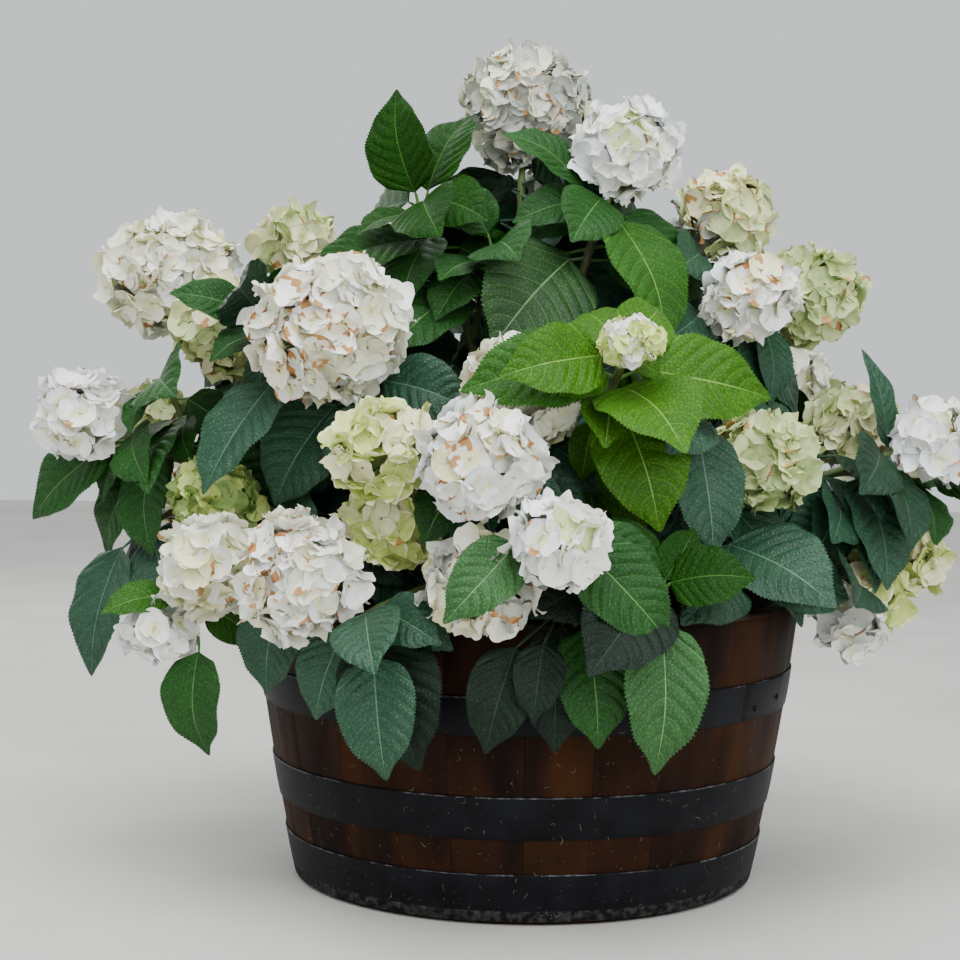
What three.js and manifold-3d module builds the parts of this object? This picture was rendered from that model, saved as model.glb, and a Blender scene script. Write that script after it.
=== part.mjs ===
// A white mophead hydrangea that grows in an oak half-barrel tub.
// Millimetres, +Z up. The origin is the centre of the tub's foot on the ground, and -Y is the front.
import * as THREE from 'three';
import { mergeVertices } from 'three/addons/utils/BufferGeometryUtils.js';
import Module from 'manifold-3d';

const wasm = await Module();
wasm.setup();

// Fit between neighbouring pieces that touch in the real thing
const FIT = 0.3;

// Tub: staves set side by side, held by three hoops
const TUB_HEIGHT = 317;
const TUB_FOOT_RADIUS = 258;
const TUB_RIM_RADIUS = 310;
const TUB_BULGE = 4;
const STAVE_COUNT = 24;
const STAVE_THICKNESS = 26;
const STAVE_SEED = 24;
const STAVE_WIDTH_SPREAD = 0.22;
const STAVE_WIDTH_MARGIN = 1.1;
const STAVE_FACETS = 2;
const STAVE_LEVELS = 2;
const HOOP_THICKNESS = 2.5;
const HOOP_SIDES = 24;
const HOOPS = [
  { name: 'hoop_top', low: 202, high: 243 },
  { name: 'hoop_middle', low: 92, high: 138 },
  { name: 'hoop_bottom', low: 3, high: 55 },
];
const BOTTOM_BOARD_LOW = 26;
const BOTTOM_BOARD_HIGH = 48;
const SOIL_LEVEL = 272;
const SOIL_CROWN = 8;
const SOIL_SIDES = 24;
const SOIL_FLAT = 0.6;

// Woody stool at the foot of the plant, from which every stem rises
const STOOL_RADIUS = 66;
const STOOL_HEIGHT = 40;
const STOOL_SIDES = 12;
const STOOL_STEPS = 5;
const STOOL_ROUNDING = 0.6;
const INNER_RING = 26;
const OUTER_RING = 54;

// Limbs
const CANE_FOOT_RADIUS = 8.5;
const CANE_TIP_RADIUS = 6.5;
const SHOOT_TIP_RADIUS = 3.2;
const SIDE_SHOOT_RADIUS = 4.6;
const CANE_SIDES = 4;
const CANE_STEPS = 5;
const MAIN_SIDES = 4;
const SHOOT_SIDES = 3;
const SHOOT_STEPS = 3;
const CURVE_STEP = 0.01;
const STEM_RISE = 0.16;
const STEM_BEND = 0.42;
const STEM_CARRY = 0.45;
const FORKED_SHARE = 0.15;
const HEAD_UNEVENNESS = 0.04;

// Leaves
const LEAF_THICKNESS = 2.6;
const LEAF_ARCH = 0.07;
const LEAF_FOLD = 0.12;
const LEAF_WIDTH_RATIO = 0.68;
const LEAF_FOOT_ROUNDING = 0.75;
const LEAF_FULLNESS = 0.8;
const STALK = 24;
const STALK_RADIUS = 2.4;
const STALK_TAPER = 0.9;
const STALK_LIFT = 40;
const STALK_STEEPEST = -75;
const STALK_APART = 1;
const CLEARANCE = 1.6;
const FACE_TURN = 0.5;
const FACE_FRONT = 100;
const FACE_UP = 0.45;
const FACE_UP_FROM = 600;
const FACE_UP_RISE = 400;

// Leaves that follow the rule: opposite pairs down the stem, in millimetres and degrees
const RULE = {
  pairs: 2, internode: 46, stemShare: 0.8, belowHead: 10, belowTip: 6, stagger: 6, turnSpread: 30,
  droop: 14, droopStep: 14, droopSpread: 24, length: 112, lengthStep: 14, lengthSpread: 24,
  ratio: 0.62, ratioSpread: 0.12, seed: 3,
};

// The crown's space, within which every leaf tip stays
const CROWN_HALF_WIDTH = 572;
const CROWN_HALF_DEPTH = 478;
const CROWN_LOW = 150;
const CROWN_TOP = 945;

const FINISHES = {
  oak: { color: 0x3d2317, roughness: 0.55, metalness: 0 },
  iron: { color: 0x24262a, roughness: 0.5, metalness: 0.8 },
  soil: { color: 0x2a1d15, roughness: 0.95, metalness: 0 },
  bark: { color: 0x6b5a43, roughness: 0.85, metalness: 0 },
  leaf: { color: 0x2f5b33, roughness: 0.6, metalness: 0 },
};

// The masses of foliage. Each rises from the stool at the bearing `root`, on a cane up to `joint`
// where it has one. Bearings are degrees round the tub: 0 is the front, 90 the right side.
// A shoot has the place of its tip, the radius of its flower head (0 for a leafy shoot) and the
// share of the main stem at which it forks. Each of its leaves that faces the front is given by
// [distance below the tip, bearing, droop, length, width ratio, stalk].
const FRONT_MASSES = [
  {
    name: 'foliage_crown_top', root: 180, ring: INNER_RING, joint: [-9, 40, 587],
    shoots: [
      { tip: [-7, 80, 877], head: 78, fork: 0, leaves: [[106, 27, 58, 84, 0.6], [150, -95, 10, 120]] },
      { tip: [50, 150, 792], head: 52, fork: 0.3, leaves: [] },
    ],
  },
  {
    name: 'foliage_top_left', root: -100, ring: INNER_RING, joint: [-54, -5, 546],
    shoots: [
      {
        tip: [-127, -22, 756], head: 0, fork: 0,
        leaves: [
          [2, -76, -76, 118, 0.74, 12], [2, 52, 15, 92, 0.8, 12],
          [40, -30, 52, 100, 0.9, 10], [12, 128, -60, 112, 0.8],
        ],
      },
      {
        tip: [-39, -50, 700], head: 0, fork: 0.25,
        leaves: [[4, -95, -58, 70, 0.7], [16, -45, 44, 84, 0.8], [52, -52, 33, 122, 0.72]],
      },
    ],
  },
  {
    name: 'foliage_top_right', root: 90, ring: INNER_RING, joint: [40, -40, 567],
    shoots: [
      {
        tip: [107, -60, 813], head: 55, fork: 0,
        leaves: [
          [95, -75, -35, 108, 0.5, 52], [58, -27, 34, 88, 0.84, 14], [74, 41, 54, 162, 0.6],
          [74, 108, 40, 112, 0.6], [124, -50, 42, 146, 0.86], [128, 84, 12, 110, 0.66],
        ],
      },
    ],
  },
  {
    name: 'foliage_upper_right', root: 116, ring: OUTER_RING, joint: [134, 15, 528],
    shoots: [
      { tip: [320, 20, 656], head: 58, fork: 0, leaves: [[64, 15, 50, 100, 0.66]] },
      { tip: [224, 60, 752], head: 55, fork: 0.25, leaves: [] },
      { tip: [241, -80, 654], head: 50, fork: 0.2, leaves: [] },
    ],
  },
  {
    name: 'foliage_upper_left', root: -141, ring: OUTER_RING, joint: [-181, 30, 503],
    shoots: [
      { tip: [-408, 0, 678], head: 74, fork: 0, leaves: [] },
      { tip: [-274, 90, 715], head: 44, fork: 0.2, leaves: [] },
      { tip: [-335, -60, 612], head: 54, fork: 0.35, leaves: [] },
    ],
  },
  {
    name: 'foliage_left', root: -90, ring: OUTER_RING, joint: [-129, -90, 464],
    shoots: [
      {
        tip: [-206, -200, 613], head: 80, fork: 0,
        leaves: [[90, -84, 58, 130, 0.76, 30], [84, 62, 16, 104, 0.7]],
      },
      {
        tip: [-294, -120, 612], head: 0, fork: 0.2,
        leaves: [[80, -50, 52, 150, 0.62, 60], [6, -69, -14, 90, 0.56], [6, 17, 64, 84, 0.66]],
      },
    ],
  },
  {
    name: 'foliage_far_left', root: -116, ring: OUTER_RING, joint: [-225, 10, 401],
    shoots: [
      {
        tip: [-499, -60, 517], head: 50, fork: 0,
        leaves: [[72, -92, 40, 138, 0.64, 30], [60, -104, 36, 96, 0.66], [92, 4, 62, 116, 0.68]],
      },
      { tip: [-440, 30, 500], head: 50, fork: 0.5, leaves: [] },
      { tip: [-441, -40, 378], head: 0, fork: 0.35, leaves: [[6, -56, 74, 150, 0.58]] },
      { tip: [-406, -48, 553], head: 0, fork: 0.55, leaves: [[4, -40, 48, 66, 0.62]] },
    ],
  },
  {
    name: 'foliage_lower_left', root: -64, ring: OUTER_RING,
    shoots: [
      { tip: [-338, -120, 425], head: 51, fork: 0, leaves: [] },
      { tip: [-329, -203, 360], head: 54, fork: 0.5, leaves: [] },
      {
        tip: [-224, -300, 362], head: 62, fork: 0.4,
        leaves: [[96, -44, 46, 96, 0.76], [72, -95, 80, 108, 0.7, 64]],
      },
      {
        tip: [-389, -182, 288], head: 34, fork: 0.62,
        leaves: [[38, 43, 34, 86, 0.7], [44, 20, 85, 112, 0.68, 62], [42, -80, 8, 84, 0.6]],
      },
    ],
  },
  {
    name: 'foliage_centre_left', root: -39, ring: OUTER_RING,
    shoots: [
      { tip: [-145, -290, 491], head: 52, fork: 0, leaves: [] },
      { tip: [-139, -240, 412], head: 46, fork: 0.5, leaves: [[58, -50, 24, 70, 0.7]] },
      { tip: [-49, -342, 481], head: 62, fork: 0.35, leaves: [] },
    ],
  },
  {
    name: 'foliage_centre', root: 0, ring: INNER_RING,
    shoots: [
      { tip: [-7, -232, 548], head: 62, fork: 0, leaves: [[70, 60, 38, 90, 0.7], [112, 44, 50, 84, 0.6]] },
    ],
  },
  {
    name: 'foliage_centre_right', root: 39, ring: OUTER_RING,
    shoots: [
      {
        tip: [99, -330, 600], head: 33, fork: 0,
        leaves: [
          [62, -74, 8, 140, 0.62], [62, 98, 10, 144, 0.62], [92, 48, 64, 136, 0.72, 14],
          [38, 27, 16, 46, 0.66, 14], [38, -155, -24, 84, 0.7], [42, 160, -30, 88, 0.7],
        ],
      },
      {
        tip: [171, -212, 529], head: 0, fork: 0.45,
        leaves: [[8, 31, 74, 134, 0.62]],
      },
    ],
  },
  {
    name: 'foliage_front_low', root: 13, ring: OUTER_RING,
    shoots: [
      {
        tip: [29, -415, 411], head: 44, fork: 0,
        leaves: [
          [60, -55, 40, 108, 0.6, 44], [58, 62, 44, 132, 0.6],
        ],
      },
      {
        tip: [138, -318, 355], head: 0, fork: 0.45,
        leaves: [
          [4, 78, -6, 86, 0.74, 8], [4, 128, -52, 66, 0.66, 8], [8, -100, -40, 92, 0.66, 8],
          [10, 0, 80, 152, 0.54, 44],
        ],
      },
      {
        tip: [44, -300, 340], head: 0, fork: 0.4,
        leaves: [
          [4, 26, 74, 122, 0.62, 40], [8, -26, 80, 128, 0.56, 36], [14, -20, 70, 80, 0.62, 80],
          [2, -50, 70, 110, 0.6, 80],
        ],
      },
    ],
  },
  {
    name: 'foliage_front_left_low', root: -13, ring: OUTER_RING,
    shoots: [
      {
        tip: [-44, -344, 362], head: 54, fork: 0, leaves: [],
      },
      {
        tip: [-170, -300, 319], head: 0, fork: 0.45,
        leaves: [
          [6, 42, 64, 146, 0.72], [30, 34, 72, 138, 0.62], [10, -50, 70, 104, 0.7],
          [2, 25, 75, 124, 0.66, 52],
        ],
      },
    ],
  },
  {
    name: 'foliage_right', root: 64, ring: OUTER_RING, joint: [125, -70, 386],
    shoots: [
      { tip: [248, -160, 478], head: 57, fork: 0, leaves: [[66, 20, 64, 94, 0.6], [80, 60, 52, 158, 0.48]] },
      { tip: [217, -206, 354], head: 0, fork: 0.2, leaves: [[6, 70, 26, 76, 0.5]] },
    ],
  },
  {
    name: 'foliage_far_right', root: 90, ring: OUTER_RING, joint: [187, 0, 396],
    shoots: [
      {
        tip: [453, -60, 497], head: 46, fork: 0,
        leaves: [[54, -92, -76, 116, 0.4, 6], [58, 42, 72, 88, 0.4], [76, 74, 44, 150, 0.62, 30]],
      },
      {
        tip: [370, 20, 511], head: 46, fork: 0.4,
        leaves: [[62, 25, 35, 116, 0.6, 52], [58, -30, 50, 92, 0.6]],
      },
      { tip: [425, -20, 365], head: 46, fork: 0.45, leaves: [[98, 25, 55, 96, 0.6, 42]] },
      { tip: [386, -52, 328], head: 36, fork: 0.4, leaves: [] },
      { tip: [357, -92, 296], head: 36, fork: 0.36, leaves: [] },
      { tip: [451, 60, 440], head: 0, fork: 0.5, leaves: [[4, 82, 20, 108, 0.66], [30, 6, 34, 112, 0.66]] },
    ],
  },
];

// The back of the crown, the same all along: heads in rows, lower ones further out
const BACK_MASSES = [
  { name: 'foliage_back_right', bearing: 126, root: 141, sense: 1 },
  { name: 'foliage_back', bearing: 178, root: 167, sense: 1 },
  { name: 'foliage_back_left', bearing: -126, root: -167, sense: -1 },
];
const BACK_JOINT = { spread: 190, height: 430 };
const BACK_ROWS = [
  { turn: 2, spread: 398, height: 560, head: 62 },
  { turn: -15, spread: 415, height: 405, head: 58 },
  { turn: 15, spread: 412, height: 436, head: 54 },
  { turn: 16, spread: 280, height: 668, head: 60 },
];

// Turn, change of droop and scale that a leaf tries, in this order, until it is clear
const TRIALS = [
  [0, 0, 1], [12, 0, 1], [-12, 0, 1], [0, 12, 1], [0, -12, 1], [22, 0, 0.94], [-22, 0, 0.94],
  [0, 24, 0.94], [16, -18, 0.9], [-16, -18, 0.9], [38, 8, 0.86], [-38, 8, 0.86], [0, 40, 0.8],
  [58, 0, 0.8], [-58, 0, 0.8], [80, 10, 0.74], [-80, 10, 0.74],
];

function seeded(seed) {
  let state = (seed * 7919 + 17) >>> 0;
  const next = () => {
    state = (Math.imul(state, 1664525) + 1013904223) >>> 0;
    return state / 4294967296;
  };
  next();
  next();
  return next;
}

const vector = (x, y, z) => new THREE.Vector3(x, y, z);
const radians = THREE.MathUtils.degToRad;

function direction(bearing, droop) {
  const turn = radians(bearing);
  const level = Math.cos(radians(droop));
  return vector(level * Math.sin(turn), -level * Math.cos(turn), -Math.sin(radians(droop)));
}

function place(bearing, spread, height) {
  return direction(bearing, 0).multiplyScalar(spread).setZ(height);
}

function bearingOf(point) {
  return THREE.MathUtils.radToDeg(Math.atan2(point.x, -point.y));
}

function tubRadius(z) {
  const t = z / TUB_HEIGHT;
  return THREE.MathUtils.lerp(TUB_FOOT_RADIUS, TUB_RIM_RADIUS, t) + 4 * TUB_BULGE * t * (1 - t);
}

// Outer radius of the staves, which run straight from one level to the next
function staveRadius(z) {
  const step = TUB_HEIGHT / STAVE_LEVELS;
  const level = Math.min(Math.floor(z / step), STAVE_LEVELS - 1);
  return THREE.MathUtils.lerp(tubRadius(level * step), tubRadius((level + 1) * step), z / step - level);
}

// A stem that first rises and then leans over towards its end
function arching(start, end) {
  const rise = STEM_RISE * start.distanceTo(end);
  const middle = start.clone().lerp(end, STEM_BEND).add(vector(0, 0, rise));
  return new THREE.QuadraticBezierCurve3(start, middle, end);
}

// A stem that goes on from the end of another one, in the same direction
function following(start, tangent, end) {
  const middle = start.clone().addScaledVector(tangent, STEM_CARRY * start.distanceTo(end));
  return new THREE.QuadraticBezierCurve3(start, middle, end);
}

// Point of a stem that lies a given distance from its tip
function nodeBelow(curve, distance) {
  const tip = curve.getPoint(1);
  let share = 1;
  while (share > 0 && curve.getPoint(share).distanceTo(tip) < distance) share -= CURVE_STEP;
  return curve.getPoint(Math.max(share, 0));
}

function weld(geometry) {
  geometry.deleteAttribute('normal');
  geometry.deleteAttribute('uv');
  return mergeVertices(geometry, 1e-5);
}

// Tapering limb along a plane curve, with flat ends square to it
function limbGeometry(limb, extra = 0) {
  const outline = new THREE.Shape();
  for (let i = 0; i < limb.sides; i += 1) {
    const angle = (2 * Math.PI * i) / limb.sides;
    outline[i ? 'lineTo' : 'moveTo'](Math.cos(angle), Math.sin(angle));
  }
  const settings = { depth: 1, steps: limb.steps, bevelEnabled: false };
  const geometry = weld(new THREE.ExtrudeGeometry(outline, settings));
  const { v0, v1, v2 } = limb.curve;
  let side = v1.clone().sub(v0).cross(v2.clone().sub(v1));
  if (side.length() < 1) side = vector(0, 1, 0).cross(v2.clone().sub(v0));
  side.normalize();
  const position = geometry.attributes.position;
  for (let i = 0; i < position.count; i += 1) {
    const along = position.getZ(i);
    const radius = THREE.MathUtils.lerp(limb.startRadius, limb.endRadius, along) + extra;
    const across = limb.curve.getTangent(along).cross(side);
    const point = limb.curve.getPoint(along);
    point.addScaledVector(side, radius * position.getX(i)).addScaledVector(across, radius * position.getY(i));
    position.setXYZ(i, point.x, point.y, point.z);
  }
  return geometry;
}

// Half width of a leaf along its length: widest before the middle, round at the foot
function leafOutline(u) {
  return Math.sin(Math.PI * u ** LEAF_FOOT_ROUNDING) ** LEAF_FULLNESS;
}

// A point of the blade: u runs from the foot to the tip, v from the left edge to the right one
function bladePoint(leaf, u, v) {
  const half = 0.5 * leaf.width * leafOutline(u);
  const lift = LEAF_ARCH * leaf.length * 4 * u * (1 - u) + LEAF_FOLD * Math.abs(v) * half;
  return leaf.base.clone()
    .addScaledVector(leaf.axis, leaf.length * u)
    .addScaledVector(leaf.normal, lift)
    .addScaledVector(leaf.side, v * half);
}

const BLADE_RIM = [[0.3, 1], [0.68, 1], [1, 0], [0.68, -1], [0.3, -1]];
const BLADE_MIDDLE = 0.48;

// Outer points of the blade past its foot, then the middle of its upper and lower face
function bladePoints(leaf, extra) {
  const grown = { ...leaf, width: leaf.width + 2 * extra };
  const points = BLADE_RIM.map(([u, v]) => bladePoint(grown, u, v));
  const thickness = 0.5 * LEAF_THICKNESS + extra;
  for (const sign of [1, -1]) {
    points.push(bladePoint(leaf, BLADE_MIDDLE, 0).addScaledVector(leaf.normal, sign * thickness));
  }
  return points;
}

function indexed(points, faces) {
  const geometry = new THREE.BufferGeometry().setFromPoints(points);
  geometry.setIndex(faces.flat());
  return geometry;
}

// The room that a blade needs: a lens with its foot drawn to a point
function bladeRoom(leaf) {
  const upper = [[0, 1, 6], [1, 2, 6], [2, 3, 6], [3, 4, 6], [4, 5, 6], [5, 0, 6]];
  const lower = upper.map(([a, b]) => [b, a, 7]);
  return indexed([leaf.base, ...bladePoints(leaf, CLEARANCE)], [...upper, ...lower]);
}

// The leaf with its stalk: a three-sided stalk from the stem's middle, then the blade
function leafGeometry(leaf) {
  const across = (centre, radius) => [
    centre.clone().addScaledVector(leaf.side, radius),
    centre.clone().addScaledVector(leaf.normal, -radius),
    centre.clone().addScaledVector(leaf.side, -radius),
  ];
  const root = leaf.node.clone().lerp(leaf.base, STALK_APART / leaf.node.distanceTo(leaf.base));
  const points = [
    ...across(root, STALK_RADIUS), ...across(leaf.base, STALK_TAPER * STALK_RADIUS), ...bladePoints(leaf, 0),
  ];
  const stalk = [[0, 2, 1], [0, 1, 4], [0, 4, 3], [1, 2, 5], [1, 5, 4], [2, 0, 3], [2, 3, 5]];
  const rim = [3, 6, 7, 8, 9, 10, 5];
  const upper = rim.map((corner, i) => [corner, rim[(i + 1) % rim.length], 11]);
  const under = [...rim, 4];
  const lower = under.map((corner, i) => [under[(i + 1) % under.length], corner, 12]);
  return indexed(points, [...stalk, ...upper, ...lower]);
}

function headGeometry(head, extra = 0) {
  const geometry = weld(new THREE.IcosahedronGeometry(head.radius + extra, 1));
  const position = geometry.attributes.position;
  const dice = seeded(head.seed);
  for (let i = 0; i < position.count; i += 1) {
    const swell = 1 + HEAD_UNEVENNESS * (extra ? 1 : 2 * dice() - 1);
    position.setXYZ(
      i,
      head.centre.x + swell * position.getX(i),
      head.centre.y + swell * position.getY(i),
      head.centre.z + swell * position.getZ(i),
    );
  }
  return geometry;
}

// One stave as a bent box: x runs round the tub, y from the outside in, z upwards
function staveGeometry(left, right, grow = 0) {
  const box = weld(new THREE.BoxGeometry(1, 1, 1, STAVE_FACETS, 1, STAVE_LEVELS));
  const position = box.attributes.position;
  for (let i = 0; i < position.count; i += 1) {
    const z = (position.getZ(i) + 0.5) * (TUB_HEIGHT + grow);
    const outer = tubRadius(z) + grow;
    const radius = position.getY(i) < 0 ? outer : outer - STAVE_THICKNESS - 2 * grow;
    const slack = THREE.MathUtils.radToDeg(FIT / 2 / radius);
    const share = position.getX(i) + 0.5;
    const point = place(THREE.MathUtils.lerp(left + slack, right - slack, share), radius, z);
    position.setXYZ(i, point.x, point.y, point.z);
  }
  return box;
}

// Bearings of the seams between the staves, whose widths differ a little
function staveSeams() {
  const dice = seeded(STAVE_SEED);
  const widths = Array.from({ length: STAVE_COUNT }, () => 1 + STAVE_WIDTH_SPREAD * (2 * dice() - 1));
  const total = widths.reduce((sum, width) => sum + width, 0);
  const seams = [0];
  for (const width of widths) seams.push(seams[seams.length - 1] + (360 * width) / total);
  return seams;
}

// Obstacles are closed meshes: their edges may not pass through each other's triangles
function obstacle(geometry, owner) {
  const position = geometry.attributes.position;
  const points = [];
  for (let i = 0; i < position.count; i += 1) {
    points.push([position.getX(i), position.getY(i), position.getZ(i)]);
  }
  const index = geometry.index.array;
  const triangles = [];
  const edges = [];
  for (let i = 0; i < index.length; i += 3) {
    const corners = [index[i], index[i + 1], index[i + 2]];
    triangles.push(corners.map((corner) => points[corner]));
    for (let k = 0; k < 3; k += 1) {
      const next = corners[(k + 1) % 3];
      if (corners[k] < next) edges.push([points[corners[k]], points[next]]);
    }
  }
  geometry.computeBoundingBox();
  return { triangles, edges, box: geometry.boundingBox, owner };
}

function pierces([start, end], [a, b, c]) {
  const dx = end[0] - start[0];
  const dy = end[1] - start[1];
  const dz = end[2] - start[2];
  const e1 = [b[0] - a[0], b[1] - a[1], b[2] - a[2]];
  const e2 = [c[0] - a[0], c[1] - a[1], c[2] - a[2]];
  const px = dy * e2[2] - dz * e2[1];
  const py = dz * e2[0] - dx * e2[2];
  const pz = dx * e2[1] - dy * e2[0];
  const det = e1[0] * px + e1[1] * py + e1[2] * pz;
  if (Math.abs(det) < 1e-9) return false;
  const sx = start[0] - a[0];
  const sy = start[1] - a[1];
  const sz = start[2] - a[2];
  const u = (sx * px + sy * py + sz * pz) / det;
  if (u < 0 || u > 1) return false;
  const qx = sy * e1[2] - sz * e1[1];
  const qy = sz * e1[0] - sx * e1[2];
  const qz = sx * e1[1] - sy * e1[0];
  const v = (dx * qx + dy * qy + dz * qz) / det;
  if (v < 0 || u + v > 1) return false;
  const t = (e2[0] * qx + e2[1] * qy + e2[2] * qz) / det;
  return t >= 0 && t <= 1;
}

function crosses(one, other) {
  if (!one.box.intersectsBox(other.box)) return false;
  return one.edges.some((edge) => other.triangles.some((triangle) => pierces(edge, triangle)))
    || other.edges.some((edge) => one.triangles.some((triangle) => pierces(edge, triangle)));
}

// The whole plant as sizes and places: limbs, heads and leaves, mass by mass
function growPlant() {
  const obstacles = [];
  const masses = [...FRONT_MASSES, ...BACK_MASSES.map(backMass)];
  const canes = [];
  masses.forEach((mass, massNumber) => {
    mass.limbs = [];
    mass.heads = [];
    mass.leaves = [];
    const foot = place(mass.root, mass.ring, SOIL_LEVEL + 0.5 * STOOL_HEIGHT);
    const tips = mass.shoots.map((shoot) => vector(...shoot.tip));
    let main;
    if (mass.joint) {
      const joint = vector(...mass.joint);
      const curve = arching(foot, joint);
      canes.push({
        name: mass.name.replace('foliage', 'cane'), curve,
        startRadius: CANE_FOOT_RADIUS, endRadius: CANE_TIP_RADIUS, sides: CANE_SIDES, steps: CANE_STEPS,
      });
      const tangent = curve.getTangent(1);
      main = following(joint.clone().addScaledVector(tangent, FIT), tangent, tips[0]);
    } else {
      main = arching(foot, tips[0]);
    }
    mass.shoots.forEach((shoot, shootNumber) => {
      const first = shootNumber === 0;
      const start = main.getPoint(shoot.fork);
      shoot.curve = first ? main : arching(start, tips[shootNumber]);
      shoot.seed = 100 * massNumber + 10 * shootNumber;
      mass.limbs.push({
        curve: shoot.curve,
        startRadius: first ? CANE_TIP_RADIUS : SIDE_SHOOT_RADIUS,
        endRadius: SHOOT_TIP_RADIUS,
        sides: first ? MAIN_SIDES : SHOOT_SIDES,
        steps: first && !mass.joint ? CANE_STEPS : SHOOT_STEPS,
        shoot,
      });
      if (shoot.head) mass.heads.push({ centre: tips[shootNumber], radius: shoot.head, seed: shoot.seed });
    });
  });
  for (const cane of canes) obstacles.push(obstacle(limbGeometry(cane, CLEARANCE)));
  for (const mass of masses) {
    for (const limb of mass.limbs) obstacles.push(obstacle(limbGeometry(limb, CLEARANCE), limb.shoot));
    for (const head of mass.heads) obstacles.push(obstacle(headGeometry(head, CLEARANCE)));
  }
  obstacles.push(obstacle(soilGeometry()), obstacle(stoolGeometry(CLEARANCE)));
  const seams = staveSeams();
  const hoopRoom = HOOP_THICKNESS + 2 * FIT + CLEARANCE;
  for (let i = 0; i < STAVE_COUNT; i += 1) {
    obstacles.push(obstacle(staveGeometry(seams[i], seams[i + 1], hoopRoom)));
  }

  for (const mass of masses) {
    for (const shoot of mass.shoots) {
      for (const sizes of shoot.leaves) growLeaf(mass, shoot, sizes, obstacles);
    }
  }
  for (const mass of masses) {
    for (const shoot of mass.shoots) {
      for (const sizes of ruledLeaves(shoot)) growLeaf(mass, shoot, sizes, obstacles);
    }
  }
  return { masses, canes };
}

function backMass({ name, bearing, root, sense }) {
  const shoots = BACK_ROWS.map((row, number) => ({
    tip: place(bearing + sense * row.turn, row.spread, row.height).toArray(),
    head: row.head,
    fork: number ? FORKED_SHARE : 0,
    leaves: [],
  }));
  const joint = place(bearing, BACK_JOINT.spread, BACK_JOINT.height).toArray();
  return { name, root, ring: OUTER_RING, joint, shoots };
}

// Leaves in opposite pairs, each pair square to the next, smaller and more upright near the tip
function ruledLeaves(shoot) {
  const dice = seeded(shoot.seed + RULE.seed);
  const leaves = [];
  const firstTurn = 360 * dice();
  const first = shoot.head ? shoot.head + RULE.belowHead : RULE.belowTip;
  const stem = shoot.curve.v0.distanceTo(shoot.curve.v2);
  for (let pair = 0; pair < RULE.pairs; pair += 1) {
    const below = first + pair * RULE.internode;
    if (below > RULE.stemShare * stem) break;
    for (const half of [0, 180]) {
      const turn = firstTurn + 90 * pair + half + RULE.turnSpread * (dice() - 0.5);
      const droop = RULE.droop + RULE.droopStep * pair + RULE.droopSpread * (dice() - 0.5);
      const length = RULE.length + RULE.lengthStep * pair + RULE.lengthSpread * dice();
      const down = below + RULE.stagger * dice();
      leaves.push([down, turn, droop, length, RULE.ratio + RULE.ratioSpread * dice()]);
    }
  }
  return leaves;
}

// One leaf: it turns its face to the open side, tries a few turns and is skipped if none is clear
function growLeaf(mass, shoot, sizes, obstacles) {
  const [below, bearing, droop, length, ratio = LEAF_WIDTH_RATIO, stalkLength = STALK] = sizes;
  const node = nodeBelow(shoot.curve, below);
  const shootBearing = bearingOf(shoot.curve.v2);
  const facing = Math.abs(shootBearing) < FACE_FRONT ? FACE_TURN * shootBearing : shootBearing;
  for (const [turn, sag, scale] of TRIALS) {
    const axis = direction(bearing + turn, droop + sag);
    const stalkDroop = Math.max(droop + sag - STALK_LIFT, STALK_STEEPEST);
    const base = node.clone().addScaledVector(direction(bearing + turn, stalkDroop), stalkLength);
    const up = FACE_UP + Math.max(0, (base.z - FACE_UP_FROM) / FACE_UP_RISE);
    const normal = direction(facing, 0).add(vector(0, 0, up));
    normal.addScaledVector(axis, -normal.dot(axis)).normalize();
    const side = axis.clone().cross(normal);
    const leaf = { node, base, axis, normal, side, length: length * scale, width: length * scale * ratio };
    if (insideCrown(leaf)) {
      const blade = obstacle(bladeRoom(leaf), leaf);
      const stalkShape = obstacle(limbGeometry(stalkOf(leaf), 0.5 * CLEARANCE), shoot);
      const clear = !obstacles.some((other) => crosses(blade, other))
        && !obstacles.some((other) => other.owner !== shoot && crosses(stalkShape, other));
      if (clear) {
        obstacles.push(blade, stalkShape);
        mass.leaves.push(leaf);
        return;
      }
    }
  }
}

function insideCrown(leaf) {
  const tip = bladePoint(leaf, 1, 0);
  const within = Math.hypot(tip.x / CROWN_HALF_WIDTH, tip.y / CROWN_HALF_DEPTH) < 1;
  return within && tip.z > CROWN_LOW && tip.z < CROWN_TOP;
}

function stalkOf(leaf) {
  const middle = leaf.node.clone().lerp(leaf.base, 0.5);
  const curve = new THREE.QuadraticBezierCurve3(leaf.node, middle, leaf.base);
  return { curve, startRadius: STALK_RADIUS, endRadius: STALK_RADIUS, sides: 3, steps: 1 };
}

function solid(geometry) {
  return new wasm.Manifold(new wasm.Mesh({
    numProp: 3,
    vertProperties: new Float32Array(geometry.attributes.position.array),
    triVerts: new Uint32Array(geometry.index.array),
  }));
}

function geometryOf(manifold) {
  const { vertProperties, triVerts } = manifold.getMesh();
  const geometry = new THREE.BufferGeometry();
  geometry.setAttribute('position', new THREE.BufferAttribute(new Float32Array(vertProperties), 3));
  geometry.setIndex(new THREE.BufferAttribute(new Uint32Array(triVerts), 1));
  return geometry;
}

function piece(name, geometry, finish) {
  geometry.computeVertexNormals();
  const mesh = new THREE.Mesh(geometry, new THREE.MeshStandardMaterial(FINISHES[finish]));
  mesh.name = name;
  return mesh;
}

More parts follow.
